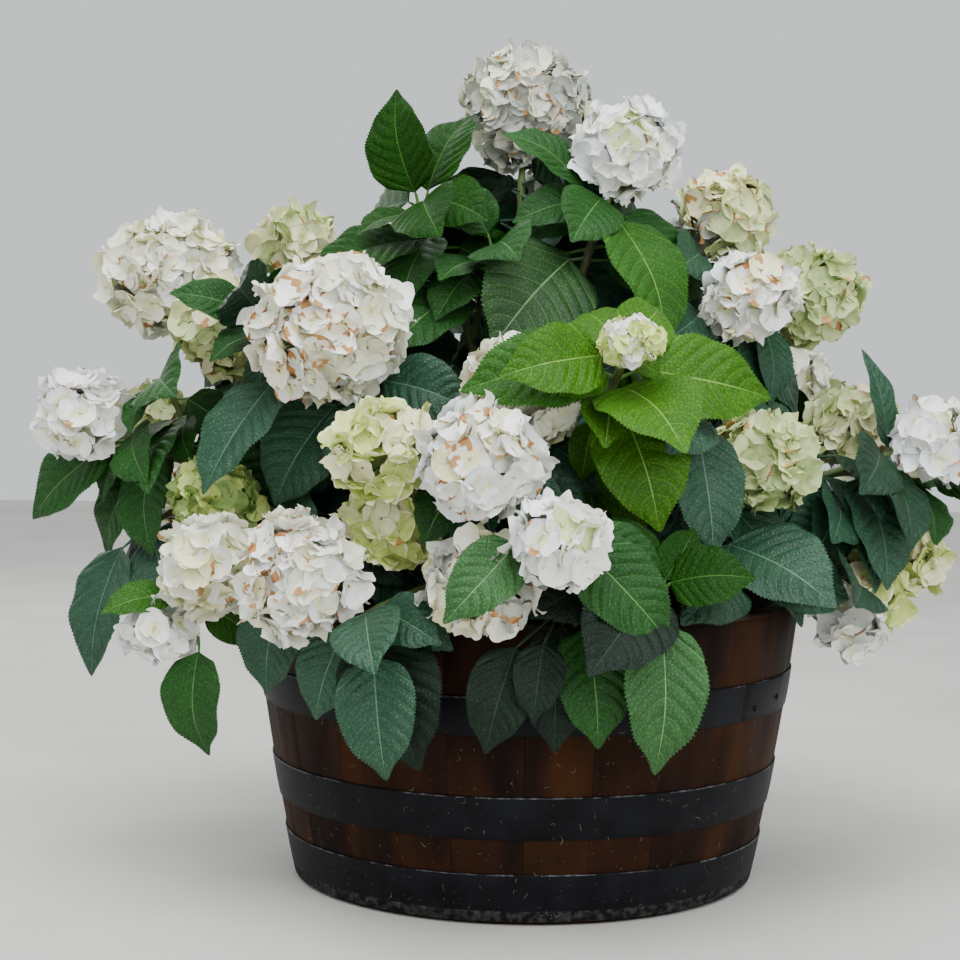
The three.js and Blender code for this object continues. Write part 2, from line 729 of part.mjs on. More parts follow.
// Domed stool with a flat cut at the soil; `grow` swells it for the fit of the limbs
function stoolGeometry(grow = 0) {
  const foot = SOIL_LEVEL + SOIL_CROWN + FIT;
  const profile = [[0, foot - grow]];
  for (let i = 0; i <= STOOL_STEPS; i += 1) {
    const angle = (0.5 * Math.PI * i) / STOOL_STEPS;
    const radius = i === STOOL_STEPS ? 0 : (STOOL_RADIUS + grow) * Math.cos(angle) ** STOOL_ROUNDING;
    profile.push([radius, i ? foot + (STOOL_HEIGHT + grow) * Math.sin(angle) : foot - grow]);
  }
  return ring(profile, STOOL_SIDES);
}

function tub() {
  const group = new THREE.Group();
  const seams = staveSeams();
  for (let i = 0; i < STAVE_COUNT; i += 1) {
    const name = `stave_${String(i + 1).padStart(2, '0')}`;
    group.add(piece(name, staveGeometry(seams[i], seams[i + 1]), 'oak'));
  }
  const ringSlack = (radius, sides) => radius / Math.cos(Math.PI / sides);
  for (const { name, low, high } of HOOPS) {
    const inner = (z) => ringSlack(staveRadius(z) + FIT, HOOP_SIDES);
    const profile = [
      [inner(low), low], [inner(low) + HOOP_THICKNESS, low],
      [inner(high) + HOOP_THICKNESS, high], [inner(high), high], [inner(low), low],
    ];
    group.add(piece(name, ring(profile, HOOP_SIDES), 'iron'));
  }
  const board = [
    [0, BOTTOM_BOARD_LOW], [insideRadius(BOTTOM_BOARD_LOW), BOTTOM_BOARD_LOW],
    [insideRadius(BOTTOM_BOARD_HIGH), BOTTOM_BOARD_HIGH], [0, BOTTOM_BOARD_HIGH],
  ];
  group.add(piece('tub_bottom', ring(board, SOIL_SIDES), 'oak'));
  group.add(piece('soil', soilGeometry(), 'soil'));
  return group;
}

// Largest radius that clears the flat inner faces of the staves
function insideRadius(z) {
  const widest = (360 / STAVE_COUNT) * (1 + STAVE_WIDTH_SPREAD) * STAVE_WIDTH_MARGIN;
  return (staveRadius(z) - STAVE_THICKNESS) * Math.cos(radians(widest / STAVE_FACETS / 2)) - FIT;
}

// Soil that fills the tub up to a little below the rim, slightly higher in the middle
function soilGeometry() {
  const foot = BOTTOM_BOARD_HIGH + FIT;
  const middle = TUB_HEIGHT / STAVE_LEVELS;
  const top = SOIL_LEVEL + SOIL_CROWN;
  const profile = [
    [0, foot], [insideRadius(foot), foot], [insideRadius(middle), middle],
    [insideRadius(SOIL_LEVEL), SOIL_LEVEL],
    [SOIL_FLAT * insideRadius(SOIL_LEVEL), top], [0, top],
  ];
  return ring(profile, SOIL_SIDES);
}

// Turns a profile of [radius, height] round the tub's axis
function ring(profile, sides) {
  const points = profile.map(([radius, height]) => new THREE.Vector2(radius, height));
  const geometry = new THREE.LatheGeometry(points, sides);
  geometry.rotateX(Math.PI / 2);
  return weld(geometry);
}

function plant() {
  const group = new THREE.Group();
  const { masses, canes } = growPlant();
  const stoolRoom = solid(stoolGeometry(FIT));
  group.add(piece('root_stool', stoolGeometry(), 'bark'));
  for (const cane of canes) {
    const body = solid(limbGeometry(cane)).subtract(stoolRoom);
    group.add(piece(cane.name, geometryOf(body), 'bark'));
  }
  for (const mass of masses) {
    let body = mass.limbs.map((limb) => solid(limbGeometry(limb))).reduce((whole, limb) => whole.add(limb));
    if (!mass.joint) body = body.subtract(stoolRoom);
    for (const head of mass.heads) body = body.add(solid(headGeometry(head)));
    for (const leaf of mass.leaves) body = body.add(solid(leafGeometry(leaf)));
    group.add(piece(mass.name, geometryOf(body), 'leaf'));
  }
  return group;
}

const hydrangea = new THREE.Group();
hydrangea.name = 'hydrangea_in_half_barrel';
hydrangea.add(tub(), plant());
export default hydrangea;
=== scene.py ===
import math
from collections import namedtuple

import bpy
import numpy as np
from mathutils import Matrix, Vector


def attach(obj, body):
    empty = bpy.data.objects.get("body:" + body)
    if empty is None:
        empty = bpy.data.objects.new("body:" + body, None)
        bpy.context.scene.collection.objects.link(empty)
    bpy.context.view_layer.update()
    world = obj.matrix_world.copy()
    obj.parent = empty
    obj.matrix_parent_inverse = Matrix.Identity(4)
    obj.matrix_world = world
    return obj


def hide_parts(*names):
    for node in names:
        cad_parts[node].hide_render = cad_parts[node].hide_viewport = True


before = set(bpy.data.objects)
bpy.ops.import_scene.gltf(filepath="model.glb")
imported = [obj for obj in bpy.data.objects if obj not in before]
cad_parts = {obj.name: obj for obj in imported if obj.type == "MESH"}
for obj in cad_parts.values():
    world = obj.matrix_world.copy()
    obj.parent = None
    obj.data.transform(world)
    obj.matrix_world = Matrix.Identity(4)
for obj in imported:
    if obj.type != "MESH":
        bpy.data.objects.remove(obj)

for spare in ("Cube", "Light", "Camera"):
    if spare in bpy.data.objects:
        bpy.data.objects.remove(bpy.data.objects[spare])
bpy.context.view_layer.update()

METRES = 0.001

# Fit between neighbouring pieces that touch in the real thing
FIT = 0.3

# Tub
TUB_HEIGHT = 317
TUB_FOOT_RADIUS = 258
TUB_RIM_RADIUS = 310
TUB_BULGE = 4
STAVE_COUNT = 24
STAVE_THICKNESS = 26
STAVE_SEED = 24
STAVE_WIDTH_SPREAD = 0.22
STAVE_WIDTH_MARGIN = 1.1
STAVE_FACETS = 2
STAVE_LEVELS = 2
HOOP_THICKNESS = 2.5
HOOPS = {"hoop_top": (202, 243), "hoop_middle": (92, 138), "hoop_bottom": (3, 55)}
BOTTOM_BOARD_HIGH = 48
SOIL_LEVEL = 272
SOIL_CROWN = 8
SOIL_SIDES = 24
SOIL_FLAT = 0.6

# Woody stool at the foot of the plant
STOOL_RADIUS = 66
STOOL_HEIGHT = 40
STOOL_SIDES = 12
STOOL_STEPS = 5
STOOL_ROUNDING = 0.6
INNER_RING = 26
OUTER_RING = 54

# Limbs
CANE_FOOT_RADIUS = 8.5
CANE_TIP_RADIUS = 6.5
SHOOT_TIP_RADIUS = 3.2
SIDE_SHOOT_RADIUS = 4.6
CANE_SIDES = 4
CANE_STEPS = 5
MAIN_SIDES = 4
SHOOT_SIDES = 3
SHOOT_STEPS = 3
CURVE_STEP = 0.01
NUDGE = 1e-4
STEM_RISE = 0.16
STEM_BEND = 0.42
STEM_CARRY = 0.45
FORKED_SHARE = 0.15
HEAD_UNEVENNESS = 0.04

# Leaves
LEAF_THICKNESS = 2.6
LEAF_ARCH = 0.07
LEAF_FOLD = 0.12
LEAF_WIDTH_RATIO = 0.68
LEAF_FOOT_ROUNDING = 0.75
LEAF_FULLNESS = 0.8
STALK = 24
FINER_STALK = 14.4
STALK_RADIUS = 2.4
STALK_LIFT = 40
STALK_STEEPEST = -75
CLEARANCE = 1.6
FACE_TURN = 0.5
FACE_FRONT = 100
FACE_UP = 0.45
FACE_UP_FROM = 600
FACE_UP_RISE = 400

# Leaves that follow the rule: opposite pairs down the stem, in millimetres and degrees
RULE = dict(
    pairs=2, internode=46, stem_share=0.8, below_head=10, below_tip=6, stagger=6, turn_spread=30,
    droop=14, droop_step=14, droop_spread=24, length=112, length_step=14, length_spread=24,
    ratio=0.62, ratio_spread=0.12, seed=3,
)
# Finer growth, which fills in between them within the same reach
FINER = dict(
    RULE, pairs=6, internode=31, stem_share=0.9, below_head=22, below_tip=18, length=66,
    length_step=3, length_spread=34, seed=7,
)

# Shoots that end above this height carry their finer leaves near the tip only
AIRY_ABOVE = 690
AIRY_BELOW = 40

CROWN_HALF_WIDTH = 572
CROWN_HALF_DEPTH = 478
CROWN_LOW = 150
CROWN_TOP = 945

# The masses of foliage. Each rises from the stool's outer ring, or the ring it names, at the bearing
# `root`, on a cane up to `joint` where it has one. Bearings are degrees round the tub: 0 is the front,
# 90 the right side. A shoot has the place of its tip, the radius of its flower head where it has one,
# the share of the main stem at which it forks, the tint of its head and the tone of its leaves. Each of
# its leaves that faces the front is given by (distance below the tip, bearing, droop, length, width
# ratio, stalk, tone).
FRONT_MASSES = [
    dict(name="crown_top", root=180, ring=INNER_RING, joint=(-9, 40, 587), shoots=[
        dict(tip=(-7, 80, 877), head=78, bloom="weathered", leaves=[
            (106, 27, 58, 84, 0.6), (150, -95, 10, 120),
        ]),
        dict(tip=(50, 150, 792), head=52, fork=0.3, bloom="white"),
    ]),
    dict(name="top_left", root=-100, ring=INNER_RING, joint=(-54, -5, 546), shoots=[
        dict(tip=(-127, -22, 756), tone="grass", leaves=[
            (2, -76, -76, 118, 0.74, 12), (2, 52, 15, 92, 0.8, 12), (40, -30, 52, 100, 0.9, 10, "mid"),
            (12, 128, -60, 112, 0.8),
        ]),
        dict(tip=(-39, -50, 700), fork=0.25, tone="mid", leaves=[
            (4, -95, -58, 70, 0.7), (16, -45, 44, 84, 0.8), (52, -52, 33, 122, 0.72),
        ]),
    ]),
    dict(name="top_right", root=90, ring=INNER_RING, joint=(40, -40, 567), shoots=[
        dict(tip=(107, -60, 813), head=55, bloom="green_eyed", tone="mid", leaves=[
            (95, -75, -35, 108, 0.5, 52), (58, -27, 34, 88, 0.84, 14),
            (74, 41, 54, 162, 0.6, "warm"), (74, 108, 40, 112, 0.6),
            (124, -50, 42, 146, 0.86, "mottled"), (128, 84, 12, 110, 0.66),
        ]),
    ]),
    dict(name="upper_right", root=116, joint=(134, 15, 528), shoots=[
        dict(tip=(320, 20, 656), head=58, bloom="fading", leaves=[(64, 15, 50, 100, 0.66)]),
        dict(tip=(224, 60, 752), head=55, fork=0.25, bloom="cream_brown"),
        dict(tip=(241, -80, 654), head=50, fork=0.2, bloom="white_brown"),
    ]),
    dict(name="upper_left", root=-141, joint=(-181, 30, 503), shoots=[
        dict(tip=(-408, 0, 678), head=74, bloom="cream"),
        dict(tip=(-274, 90, 715), head=44, fork=0.2, bloom="green_cream"),
        dict(tip=(-335, -60, 612), head=54, fork=0.35, bloom="green_cream"),
    ]),
    dict(name="left", root=-90, joint=(-129, -90, 464), shoots=[
        dict(tip=(-206, -200, 613), head=80, bloom="streaked", leaves=[
            (90, -84, 58, 130, 0.76, 30), (84, 62, 16, 104, 0.7),
        ]),
        dict(tip=(-294, -120, 612), fork=0.2, leaves=[
            (80, -50, 52, 150, 0.62, 60, "dark"), (6, -69, -14, 90, 0.56), (6, 17, 64, 84, 0.66),
        ]),
    ]),
    dict(name="far_left", root=-116, joint=(-225, 10, 401), shoots=[
        dict(tip=(-499, -60, 517), head=50, bloom="white", tone="mid", leaves=[
            (72, -92, 40, 138, 0.64, 30), (60, -104, 36, 96, 0.66), (92, 4, 62, 116, 0.68),
        ]),
        dict(tip=(-440, 30, 500), head=50, fork=0.5, bloom="green_cream"),
        dict(tip=(-441, -40, 378), fork=0.35, leaves=[(6, -56, 74, 150, 0.58)]),
        dict(tip=(-406, -48, 553), fork=0.55, tone="mid", leaves=[(4, -40, 48, 66, 0.62)]),
    ]),
    dict(name="lower_left", root=-64, shoots=[
        dict(tip=(-338, -120, 425), head=51, bloom="green"),
        dict(tip=(-329, -203, 360), head=54, fork=0.5, bloom="cream"),
        dict(tip=(-224, -300, 362), head=62, fork=0.4, bloom="streaked", tone="dark", leaves=[
            (96, -44, 46, 96, 0.76), (72, -95, 80, 108, 0.7, 64),
        ]),
        dict(tip=(-389, -182, 288), head=34, fork=0.62, bloom="white", tone="warm", leaves=[
            (38, 43, 34, 86, 0.7), (44, 20, 85, 112, 0.68, 62, "mid"), (42, -80, 8, 84, 0.6),
        ]),
    ]),
    dict(name="centre_left", root=-39, shoots=[
        dict(tip=(-145, -290, 491), head=52, bloom="lime"),
        dict(tip=(-139, -240, 412), head=46, fork=0.5, bloom="lime", leaves=[(58, -50, 24, 70, 0.7)]),
        dict(tip=(-49, -342, 481), head=62, fork=0.35, bloom="white_brown"),
    ]),
    dict(name="centre", root=0, ring=INNER_RING, shoots=[
        dict(tip=(-7, -232, 548), head=62, bloom="cream", leaves=[
            (70, 60, 38, 90, 0.7), (112, 44, 50, 84, 0.6),
        ]),
    ]),
    dict(name="centre_right", root=39, shoots=[
        dict(tip=(99, -330, 600), head=33, bloom="young", tone="bright", leaves=[
            (62, -74, 8, 140, 0.62, "warm"), (62, 98, 10, 144, 0.62), (92, 48, 64, 136, 0.72, 14),
            (38, 27, 16, 46, 0.66, 14), (38, -155, -24, 84, 0.7), (42, 160, -30, 88, 0.7),
        ]),
        dict(tip=(171, -212, 529), fork=0.45, leaves=[(8, 31, 74, 134, 0.62)]),
    ]),
    dict(name="front_low", root=13, shoots=[
        dict(tip=(29, -415, 411), head=44, bloom="green_eyed", tone="mid", leaves=[
            (60, -55, 40, 108, 0.6, 44, "fresh"), (58, 62, 44, 132, 0.6),
        ]),
        dict(tip=(138, -318, 355), fork=0.45, tone="shade", leaves=[
            (4, 78, -6, 86, 0.74, 8, "grass"), (4, 128, -52, 66, 0.66, 8, "grass"),
            (8, -100, -40, 92, 0.66, 8, "grass"),
            (10, 0, 80, 152, 0.54, 44, "fresh"),
        ]),
        dict(tip=(44, -300, 340), fork=0.4, tone="shade", leaves=[
            (4, 26, 74, 122, 0.62, 40, "mid"), (8, -26, 80, 128, 0.56, 36), (14, -20, 70, 80, 0.62, 80),
            (2, -50, 70, 110, 0.6, 80),
        ]),
    ]),
    dict(name="front_left_low", root=-13, shoots=[
        dict(tip=(-44, -344, 362), head=54, bloom="aged"),
        dict(tip=(-170, -300, 319), fork=0.45, tone="dark", leaves=[
            (6, 42, 64, 146, 0.72, "shade"), (30, 34, 72, 138, 0.62, "deep"), (10, -50, 70, 104, 0.7),
            (2, 25, 75, 124, 0.66, 52),
        ]),
    ]),
    dict(name="right", root=64, joint=(125, -70, 386), shoots=[
        dict(tip=(248, -160, 478), head=57, bloom="fading", leaves=[
            (66, 20, 64, 94, 0.6), (80, 60, 52, 158, 0.48),
        ]),
        dict(tip=(217, -206, 354), fork=0.2, leaves=[(6, 70, 26, 76, 0.5)]),
    ]),
    dict(name="far_right", root=90, joint=(187, 0, 396), shoots=[
        dict(tip=(453, -60, 497), head=46, bloom="white_brown", leaves=[
            (54, -92, -76, 116, 0.4, 6), (58, 42, 72, 88, 0.4), (76, 74, 44, 150, 0.62, 30),
        ]),
        dict(tip=(370, 20, 511), head=46, fork=0.4, bloom="green_cream", leaves=[
            (62, 25, 35, 116, 0.6, 52), (58, -30, 50, 92, 0.6),
        ]),
        dict(tip=(425, -20, 365), head=46, fork=0.45, bloom="lime", leaves=[(98, 25, 55, 96, 0.6, 42)]),
        dict(tip=(386, -52, 328), head=36, fork=0.4, bloom="lime"),
        dict(tip=(357, -92, 296), head=36, fork=0.36, bloom="white"),
        dict(tip=(451, 60, 440), fork=0.5, tone="mid", leaves=[
            (4, 82, 20, 108, 0.66), (30, 6, 34, 112, 0.66),
        ]),
    ]),
]

# The back of the crown, the same all along: heads in rows, lower ones further out
BACK_MASSES = [
    dict(name="back_right", bearing=126, root=141, sense=1),
    dict(name="back", bearing=178, root=167, sense=1),
    dict(name="back_left", bearing=-126, root=-167, sense=-1),
]
BACK_JOINT_SPREAD = 190
BACK_JOINT_HEIGHT = 430
BACK_ROWS = [
    dict(turn=2, spread=398, height=560, head=62),
    dict(turn=-15, spread=415, height=405, head=58),
    dict(turn=15, spread=412, height=436, head=54),
    dict(turn=16, spread=280, height=668, head=60),
]
BACK_BLOOMS = ("cream", "white", "green_cream", "white_brown", "green_eyed")

# Turn, change of droop and scale that a leaf tries, in this order, until it is clear
TRIALS = [
    (0, 0, 1), (12, 0, 1), (-12, 0, 1), (0, 12, 1), (0, -12, 1), (22, 0, 0.94), (-22, 0, 0.94),
    (0, 24, 0.94), (16, -18, 0.9), (-16, -18, 0.9), (38, 8, 0.86), (-38, 8, 0.86), (0, 40, 0.8),
    (58, 0, 0.8), (-58, 0, 0.8), (80, 10, 0.74), (-80, 10, 0.74),
]


class Dice:
    """Evenly spread numbers from 0 to 1 that depend only on the seed."""

    def __init__(self, seed):
        self.state = (seed * 7919 + 17) & 0xFFFFFFFF
        self()
        self()

    def __call__(self):
        self.state = (self.state * 1664525 + 1013904223) & 0xFFFFFFFF
        return self.state / 4294967296


def unit(vector):
    return vector / np.linalg.norm(vector)


def direction(bearing, droop):
    turn, sink = math.radians(bearing), math.radians(droop)
    level = math.cos(sink)
    return np.array([level * math.sin(turn), -level * math.cos(turn), -math.sin(sink)])


def place(bearing, spread, height):
    point = spread * direction(bearing, 0)
    point[2] = height
    return point


def bearing_of(point):
    return math.degrees(math.atan2(point[0], -point[1]))


def tub_radius(z):
    t = z / TUB_HEIGHT
    return TUB_FOOT_RADIUS + (TUB_RIM_RADIUS - TUB_FOOT_RADIUS) * t + 4 * TUB_BULGE * t * (1 - t)


def stave_radius(z):
    """Outer radius of the plain staves, which run straight from one level to the next."""
    step = TUB_HEIGHT / STAVE_LEVELS
    level = min(int(z // step), STAVE_LEVELS - 1)
    low, high = tub_radius(level * step), tub_radius((level + 1) * step)
    return low + (high - low) * (z / step - level)


def inside_radius(z):
    """Largest radius that clears the flat inner faces of the staves."""
    widest = 360 / STAVE_COUNT * (1 + STAVE_WIDTH_SPREAD) * STAVE_WIDTH_MARGIN
    return (stave_radius(z) - STAVE_THICKNESS) * math.cos(math.radians(widest / STAVE_FACETS / 2)) - FIT


def round_the_tub(bearings, radii, heights):
    """Points at bearings, distances from the tub's axis and heights, over the grid that these span."""
    turn = np.radians(bearings)
    return np.stack(np.broadcast_arrays(radii * np.sin(turn), -radii * np.cos(turn), heights), -1)


def grid_faces(rows, columns, closed=False):
    """Quads of a grid of points that is stored row by row."""
    right = np.arange(1, columns + 1) % columns if closed else np.arange(1, columns)
    low = columns * np.arange(rows - 1)[:, None]
    a, b = low + np.arange(len(right)), low + right
    return np.stack([a, b, b + columns, a + columns], -1).reshape(-1, 4)


def halves(quads):
    """Each quad as two triangles."""
    return np.concatenate([quads[:, (0, 1, 3)], quads[:, (1, 2, 3)]])


def fan_faces(first, sides, middle, turned=False):
    """Triangles from each side of a ring of points to the point in its middle."""
    turn = np.arange(sides)
    fan = np.stack([first + turn, first + (turn + 1) % sides, np.full(sides, middle)], 1)
    return fan[:, (1, 0, 2)] if turned else fan


def box_faces(rows, across):
    """Quads of a bent box whose rows have `across` points outside and as many inside: walls, foot, top."""
    width = 2 * across
    column = np.arange(across - 1)
    end = np.stack([column, column + 1, width - 2 - column, width - 1 - column], 1)
    return grid_faces(rows, width, closed=True), end[:, ::-1], end + (rows - 1) * width


class Bend:
    """A curve from start to end, drawn towards its middle point."""

    def __init__(self, start, middle, end):
        self.start, self.middle, self.end = start, middle, end

    def point(self, t):
        return (1 - t) ** 2 * self.start + 2 * (1 - t) * t * self.middle + t * t * self.end

    def tangent(self, t):
        return unit(self.point(min(t + NUDGE, 1)) - self.point(max(t - NUDGE, 0)))


def arching(start, end):
    """A stem that first rises and then leans over towards its end."""
    rise = STEM_RISE * np.linalg.norm(end - start)
    return Bend(start, start + STEM_BEND * (end - start) + np.array([0, 0, rise]), end)


def following(start, tangent, end):
    """A stem that goes on from the end of another one, in the same direction."""
    return Bend(start, start + STEM_CARRY * np.linalg.norm(end - start) * tangent, end)


def share_below(curve, distance):
    """Share of a stem at which it is a given distance from its tip."""
    share = 1
    while share > 0 and np.linalg.norm(curve.point(share) - curve.end) < distance:
        share -= CURVE_STEP
    return max(share, 0)


def limb_shape(limb, extra):
    """Tapering limb along a plane curve, with flat ends square to it, as points and triangles."""
    sides, steps, curve = limb["sides"], limb["steps"], limb["curve"]
    angles = [2 * math.pi * i / sides for i in range(sides)]
    outline = np.array([(math.cos(a), math.sin(a)) for a in angles], np.float32).astype(float)
    side = np.cross(curve.middle - curve.start, curve.end - curve.middle)
    if np.linalg.norm(side) < 1:
        side = np.cross([0, 1, 0], curve.end - curve.start)
    side = unit(side)
    points = []
    for step in range(steps + 1):
        along = float(np.float32(step / steps))
        radius = limb["start_radius"] + (limb["end_radius"] - limb["start_radius"]) * along + extra
        across = np.cross(curve.tangent(along), side)
        points.append(curve.point(along) + radius * (outline[:, :1] * side + outline[:, 1:] * across))
    end = np.array([(0, i + 1, i) for i in range(1, sides - 1)])
    walls = halves(grid_faces(steps + 1, sides, closed=True))
    return np.concatenate(points), np.concatenate([walls, end, end[:, ::-1] + steps * sides])


def leaf_outline(u):
    """Half width of a leaf along its length: widest before the middle, round at the foot."""
    return np.maximum(np.sin(np.pi * u ** LEAF_FOOT_ROUNDING), 0) ** LEAF_FULLNESS


def blade_point(leaf, u, v, extra=0):
    half = 0.5 * (leaf["width"] + 2 * extra) * leaf_outline(u)
    lift = LEAF_ARCH * leaf["length"] * 4 * u * (1 - u) + LEAF_FOLD * abs(v) * half
    return leaf["base"] + leaf["length"] * u * leaf["axis"] + lift * leaf["normal"] + v * half * leaf["side"]


BLADE_RIM = [(0.3, 1), (0.68, 1), (1, 0), (0.68, -1), (0.3, -1)]
BLADE_MIDDLE = 0.48


def blade_room(leaf):
    """The room that a blade needs: a lens with its foot drawn to a point."""
    points = [leaf["base"]] + [blade_point(leaf, u, v, CLEARANCE) for u, v in BLADE_RIM]
    thickness = 0.5 * LEAF_THICKNESS + CLEARANCE
    for sign in (1, -1):
        points.append(blade_point(leaf, BLADE_MIDDLE, 0) + sign * thickness * leaf["normal"])
    upper = [(0, 1, 6), (1, 2, 6), (2, 3, 6), (3, 4, 6), (4, 5, 6), (5, 0, 6)]
    lower = [(b, a, 7) for a, b, _ in upper]
    return np.array(points), np.array(upper + lower)


# Corners and faces of the plain ball that flower heads, beads and crumbs start from
GOLD = (1 + math.sqrt(5)) / 2
BALL_CORNERS = [
    (-1, GOLD, 0), (1, GOLD, 0), (-1, -GOLD, 0), (1, -GOLD, 0), (0, -1, GOLD), (0, 1, GOLD),
    (0, -1, -GOLD), (0, 1, -GOLD), (GOLD, 0, -1), (GOLD, 0, 1), (-GOLD, 0, -1), (-GOLD, 0, 1),
]
BALL_FACES = np.array([
    (0, 11, 5), (0, 5, 1), (0, 1, 7), (0, 7, 10), (0, 10, 11), (1, 5, 9), (5, 11, 4), (11, 10, 2),
    (10, 7, 6), (7, 1, 8), (3, 9, 4), (3, 4, 2), (3, 2, 6), (3, 6, 8), (3, 8, 9), (4, 9, 5),
    (2, 4, 11), (6, 2, 10), (8, 6, 7), (9, 8, 1),
])
BEAD = np.array([unit(np.array(corner, float)) for corner in BALL_CORNERS])


def ball_shape(centre, radius):
    """A ball of 80 faces: each face of the plain one is split in four."""
    points = [np.array(corner, float) for corner in BALL_CORNERS]
    middles, faces = {}, []
    for corners in BALL_FACES:
        between = []
        for a, b in zip(corners, np.roll(corners, -1)):
            key = (min(a, b), max(a, b))
            if key not in middles:
                middles[key] = len(points)
                points.append((points[a] + points[b]) / 2)
            between.append(middles[key])
        (a, b, c), (ab, bc, ca) = corners, between
        faces += [(a, ab, ca), (b, bc, ab), (c, ca, bc), (ab, bc, ca)]
    return centre + radius * np.array([unit(point) for point in points]), np.array(faces)


def ring_shape(profile, sides):
    """Turns a profile of (radius, height) round the tub's axis, and leaves out the empty faces on it."""
    radii, heights = np.array(profile, float).T[:, :, None]
    points = round_the_tub(np.arange(sides) * 360 / sides, radii, heights).reshape(-1, 3)
    faces = halves(grid_faces(len(profile), sides, closed=True))
    a, b, c = points[faces].transpose(1, 0, 2)
    return points, faces[np.linalg.norm(np.cross(b - a, c - a), axis=1) > 1]


def soil_profile():
    """Radii and heights of the plain compost: a low dome on walls that follow the staves."""
    foot = BOTTOM_BOARD_HIGH + FIT
    middle = TUB_HEIGHT / STAVE_LEVELS
    top = SOIL_LEVEL + SOIL_CROWN
    return [
        (0, foot), (inside_radius(foot), foot), (inside_radius(middle), middle),
        (inside_radius(SOIL_LEVEL), SOIL_LEVEL), (SOIL_FLAT * inside_radius(SOIL_LEVEL), top), (0, top),
    ]


def stool_profile(grow):
    """Radii and heights of the plain stool, with some room round it."""
    foot = SOIL_LEVEL + SOIL_CROWN + FIT
    profile = [(0, foot - grow)]
    for i in range(STOOL_STEPS + 1):
        angle = 0.5 * math.pi * i / STOOL_STEPS
        radius = 0 if i == STOOL_STEPS else (STOOL_RADIUS + grow) * math.cos(angle) ** STOOL_ROUNDING
        profile.append((radius, foot + (STOOL_HEIGHT + grow) * math.sin(angle) if i else foot - grow))
    return profile


def stave_seams():
    """Bearings of the seams between the staves, whose widths differ a little."""
    dice = Dice(STAVE_SEED)
    widths = [1 + STAVE_WIDTH_SPREAD * (2 * dice() - 1) for _ in range(STAVE_COUNT)]
    total = sum(widths)
    seams = [0]
    for width in widths:
        seams.append(seams[-1] + 360 * width / total)
    return seams


def stave_shape(left, right, grow):
    """A plain stave, made thicker and taller by `grow`, as points and triangles."""
    z = np.linspace(0, TUB_HEIGHT + grow, STAVE_LEVELS + 1)[:, None]
    share = np.linspace(0, 1, STAVE_FACETS + 1)
    sheets = []
    for radius in (tub_radius(z) + grow, tub_radius(z) - STAVE_THICKNESS - grow):
        slack = np.degrees(FIT / 2 / radius)
        sheets.append(round_the_tub(left + slack + (right - left - 2 * slack) * share, radius, z))
    points = np.concatenate([sheets[0], sheets[1][:, ::-1]], 1).reshape(-1, 3)
    return points, halves(np.concatenate(box_faces(STAVE_LEVELS + 1, STAVE_FACETS + 1)))


# Meshes that the room has space for, and the volume below which an edge counts as level with a face
ROOM_FOR = 8000
FLAT = 1e-9


def pierced(edges, triangles):
    """Whether any edge passes through any triangle."""
    start = edges[:, None, 0]
    run = edges[:, None, 1] - start
    corner = triangles[None, :, 0]
    e1 = triangles[None, :, 1] - corner
    e2 = triangles[None, :, 2] - corner
    p = np.cross(run, e2)
    det = (e1 * p).sum(-1)
    flat = np.abs(det) < FLAT
    det = np.where(flat, 1, det)
    s = start - corner
    u = (s * p).sum(-1) / det
    q = np.cross(s, e1)
    v = (run * q).sum(-1) / det
    t = (e2 * q).sum(-1) / det
    return bool((~flat & (u >= 0) & (u <= 1) & (v >= 0) & (u + v <= 1) & (t >= 0) & (t <= 1)).any())


class Room:
    """What is taken up already: closed meshes whose edges may not pass through each other's faces."""

    def __init__(self):
        self.low, self.high = np.empty((ROOM_FOR, 3)), np.empty((ROOM_FOR, 3))
        self.triangles, self.edges, self.owners = [], [], []

    @staticmethod
    def parts(shape):
        points, faces = shape
        points = points.astype(np.float32).astype(float)
        edges = np.concatenate([faces[:, (0, 1)], faces[:, (1, 2)], faces[:, (2, 0)]])
        edges = edges[edges[:, 0] < edges[:, 1]]
        return points[faces], points[edges], points.min(0), points.max(0)

    def add(self, shape, owner=None):
        triangles, edges, low, high = self.parts(shape)
        number = len(self.owners)
        self.low[number], self.high[number] = low, high
        self.triangles.append(triangles)
        self.edges.append(edges)
        self.owners.append(owner)

    def is_clear(self, shape, ignored=None):
        triangles, edges, low, high = self.parts(shape)
        count = len(self.owners)
        near = ((self.low[:count] <= high) & (self.high[:count] >= low)).all(1)
        near = [i for i in np.flatnonzero(near) if ignored is None or self.owners[i] is not ignored]
        if not near:
            return True
        others = np.concatenate([self.triangles[i] for i in near])
        others = others[((others.min(1) <= high) & (others.max(1) >= low)).all(1)]
        if len(others) and pierced(edges, others):
            return False
        lines = np.concatenate([self.edges[i] for i in near])
        lines = lines[((lines.min(1) <= high) & (lines.max(1) >= low)).all(1)]
        return not (len(lines) and pierced(lines, triangles))


def back_mass(number, name, bearing, root, sense):
    """A mass at the back, with a shoot for each row."""
    shoots = []
    for row_number, row in enumerate(BACK_ROWS):
        shoots.append(dict(
            tip=tuple(place(bearing + sense * row["turn"], row["spread"], row["height"])),
            head=row["head"],
            fork=FORKED_SHARE if row_number else 0,
            bloom=BACK_BLOOMS[(2 * number + row_number) % len(BACK_BLOOMS)],
        ))
    joint = tuple(place(bearing, BACK_JOINT_SPREAD, BACK_JOINT_HEIGHT))
    return dict(name=name, root=root, joint=joint, shoots=shoots)


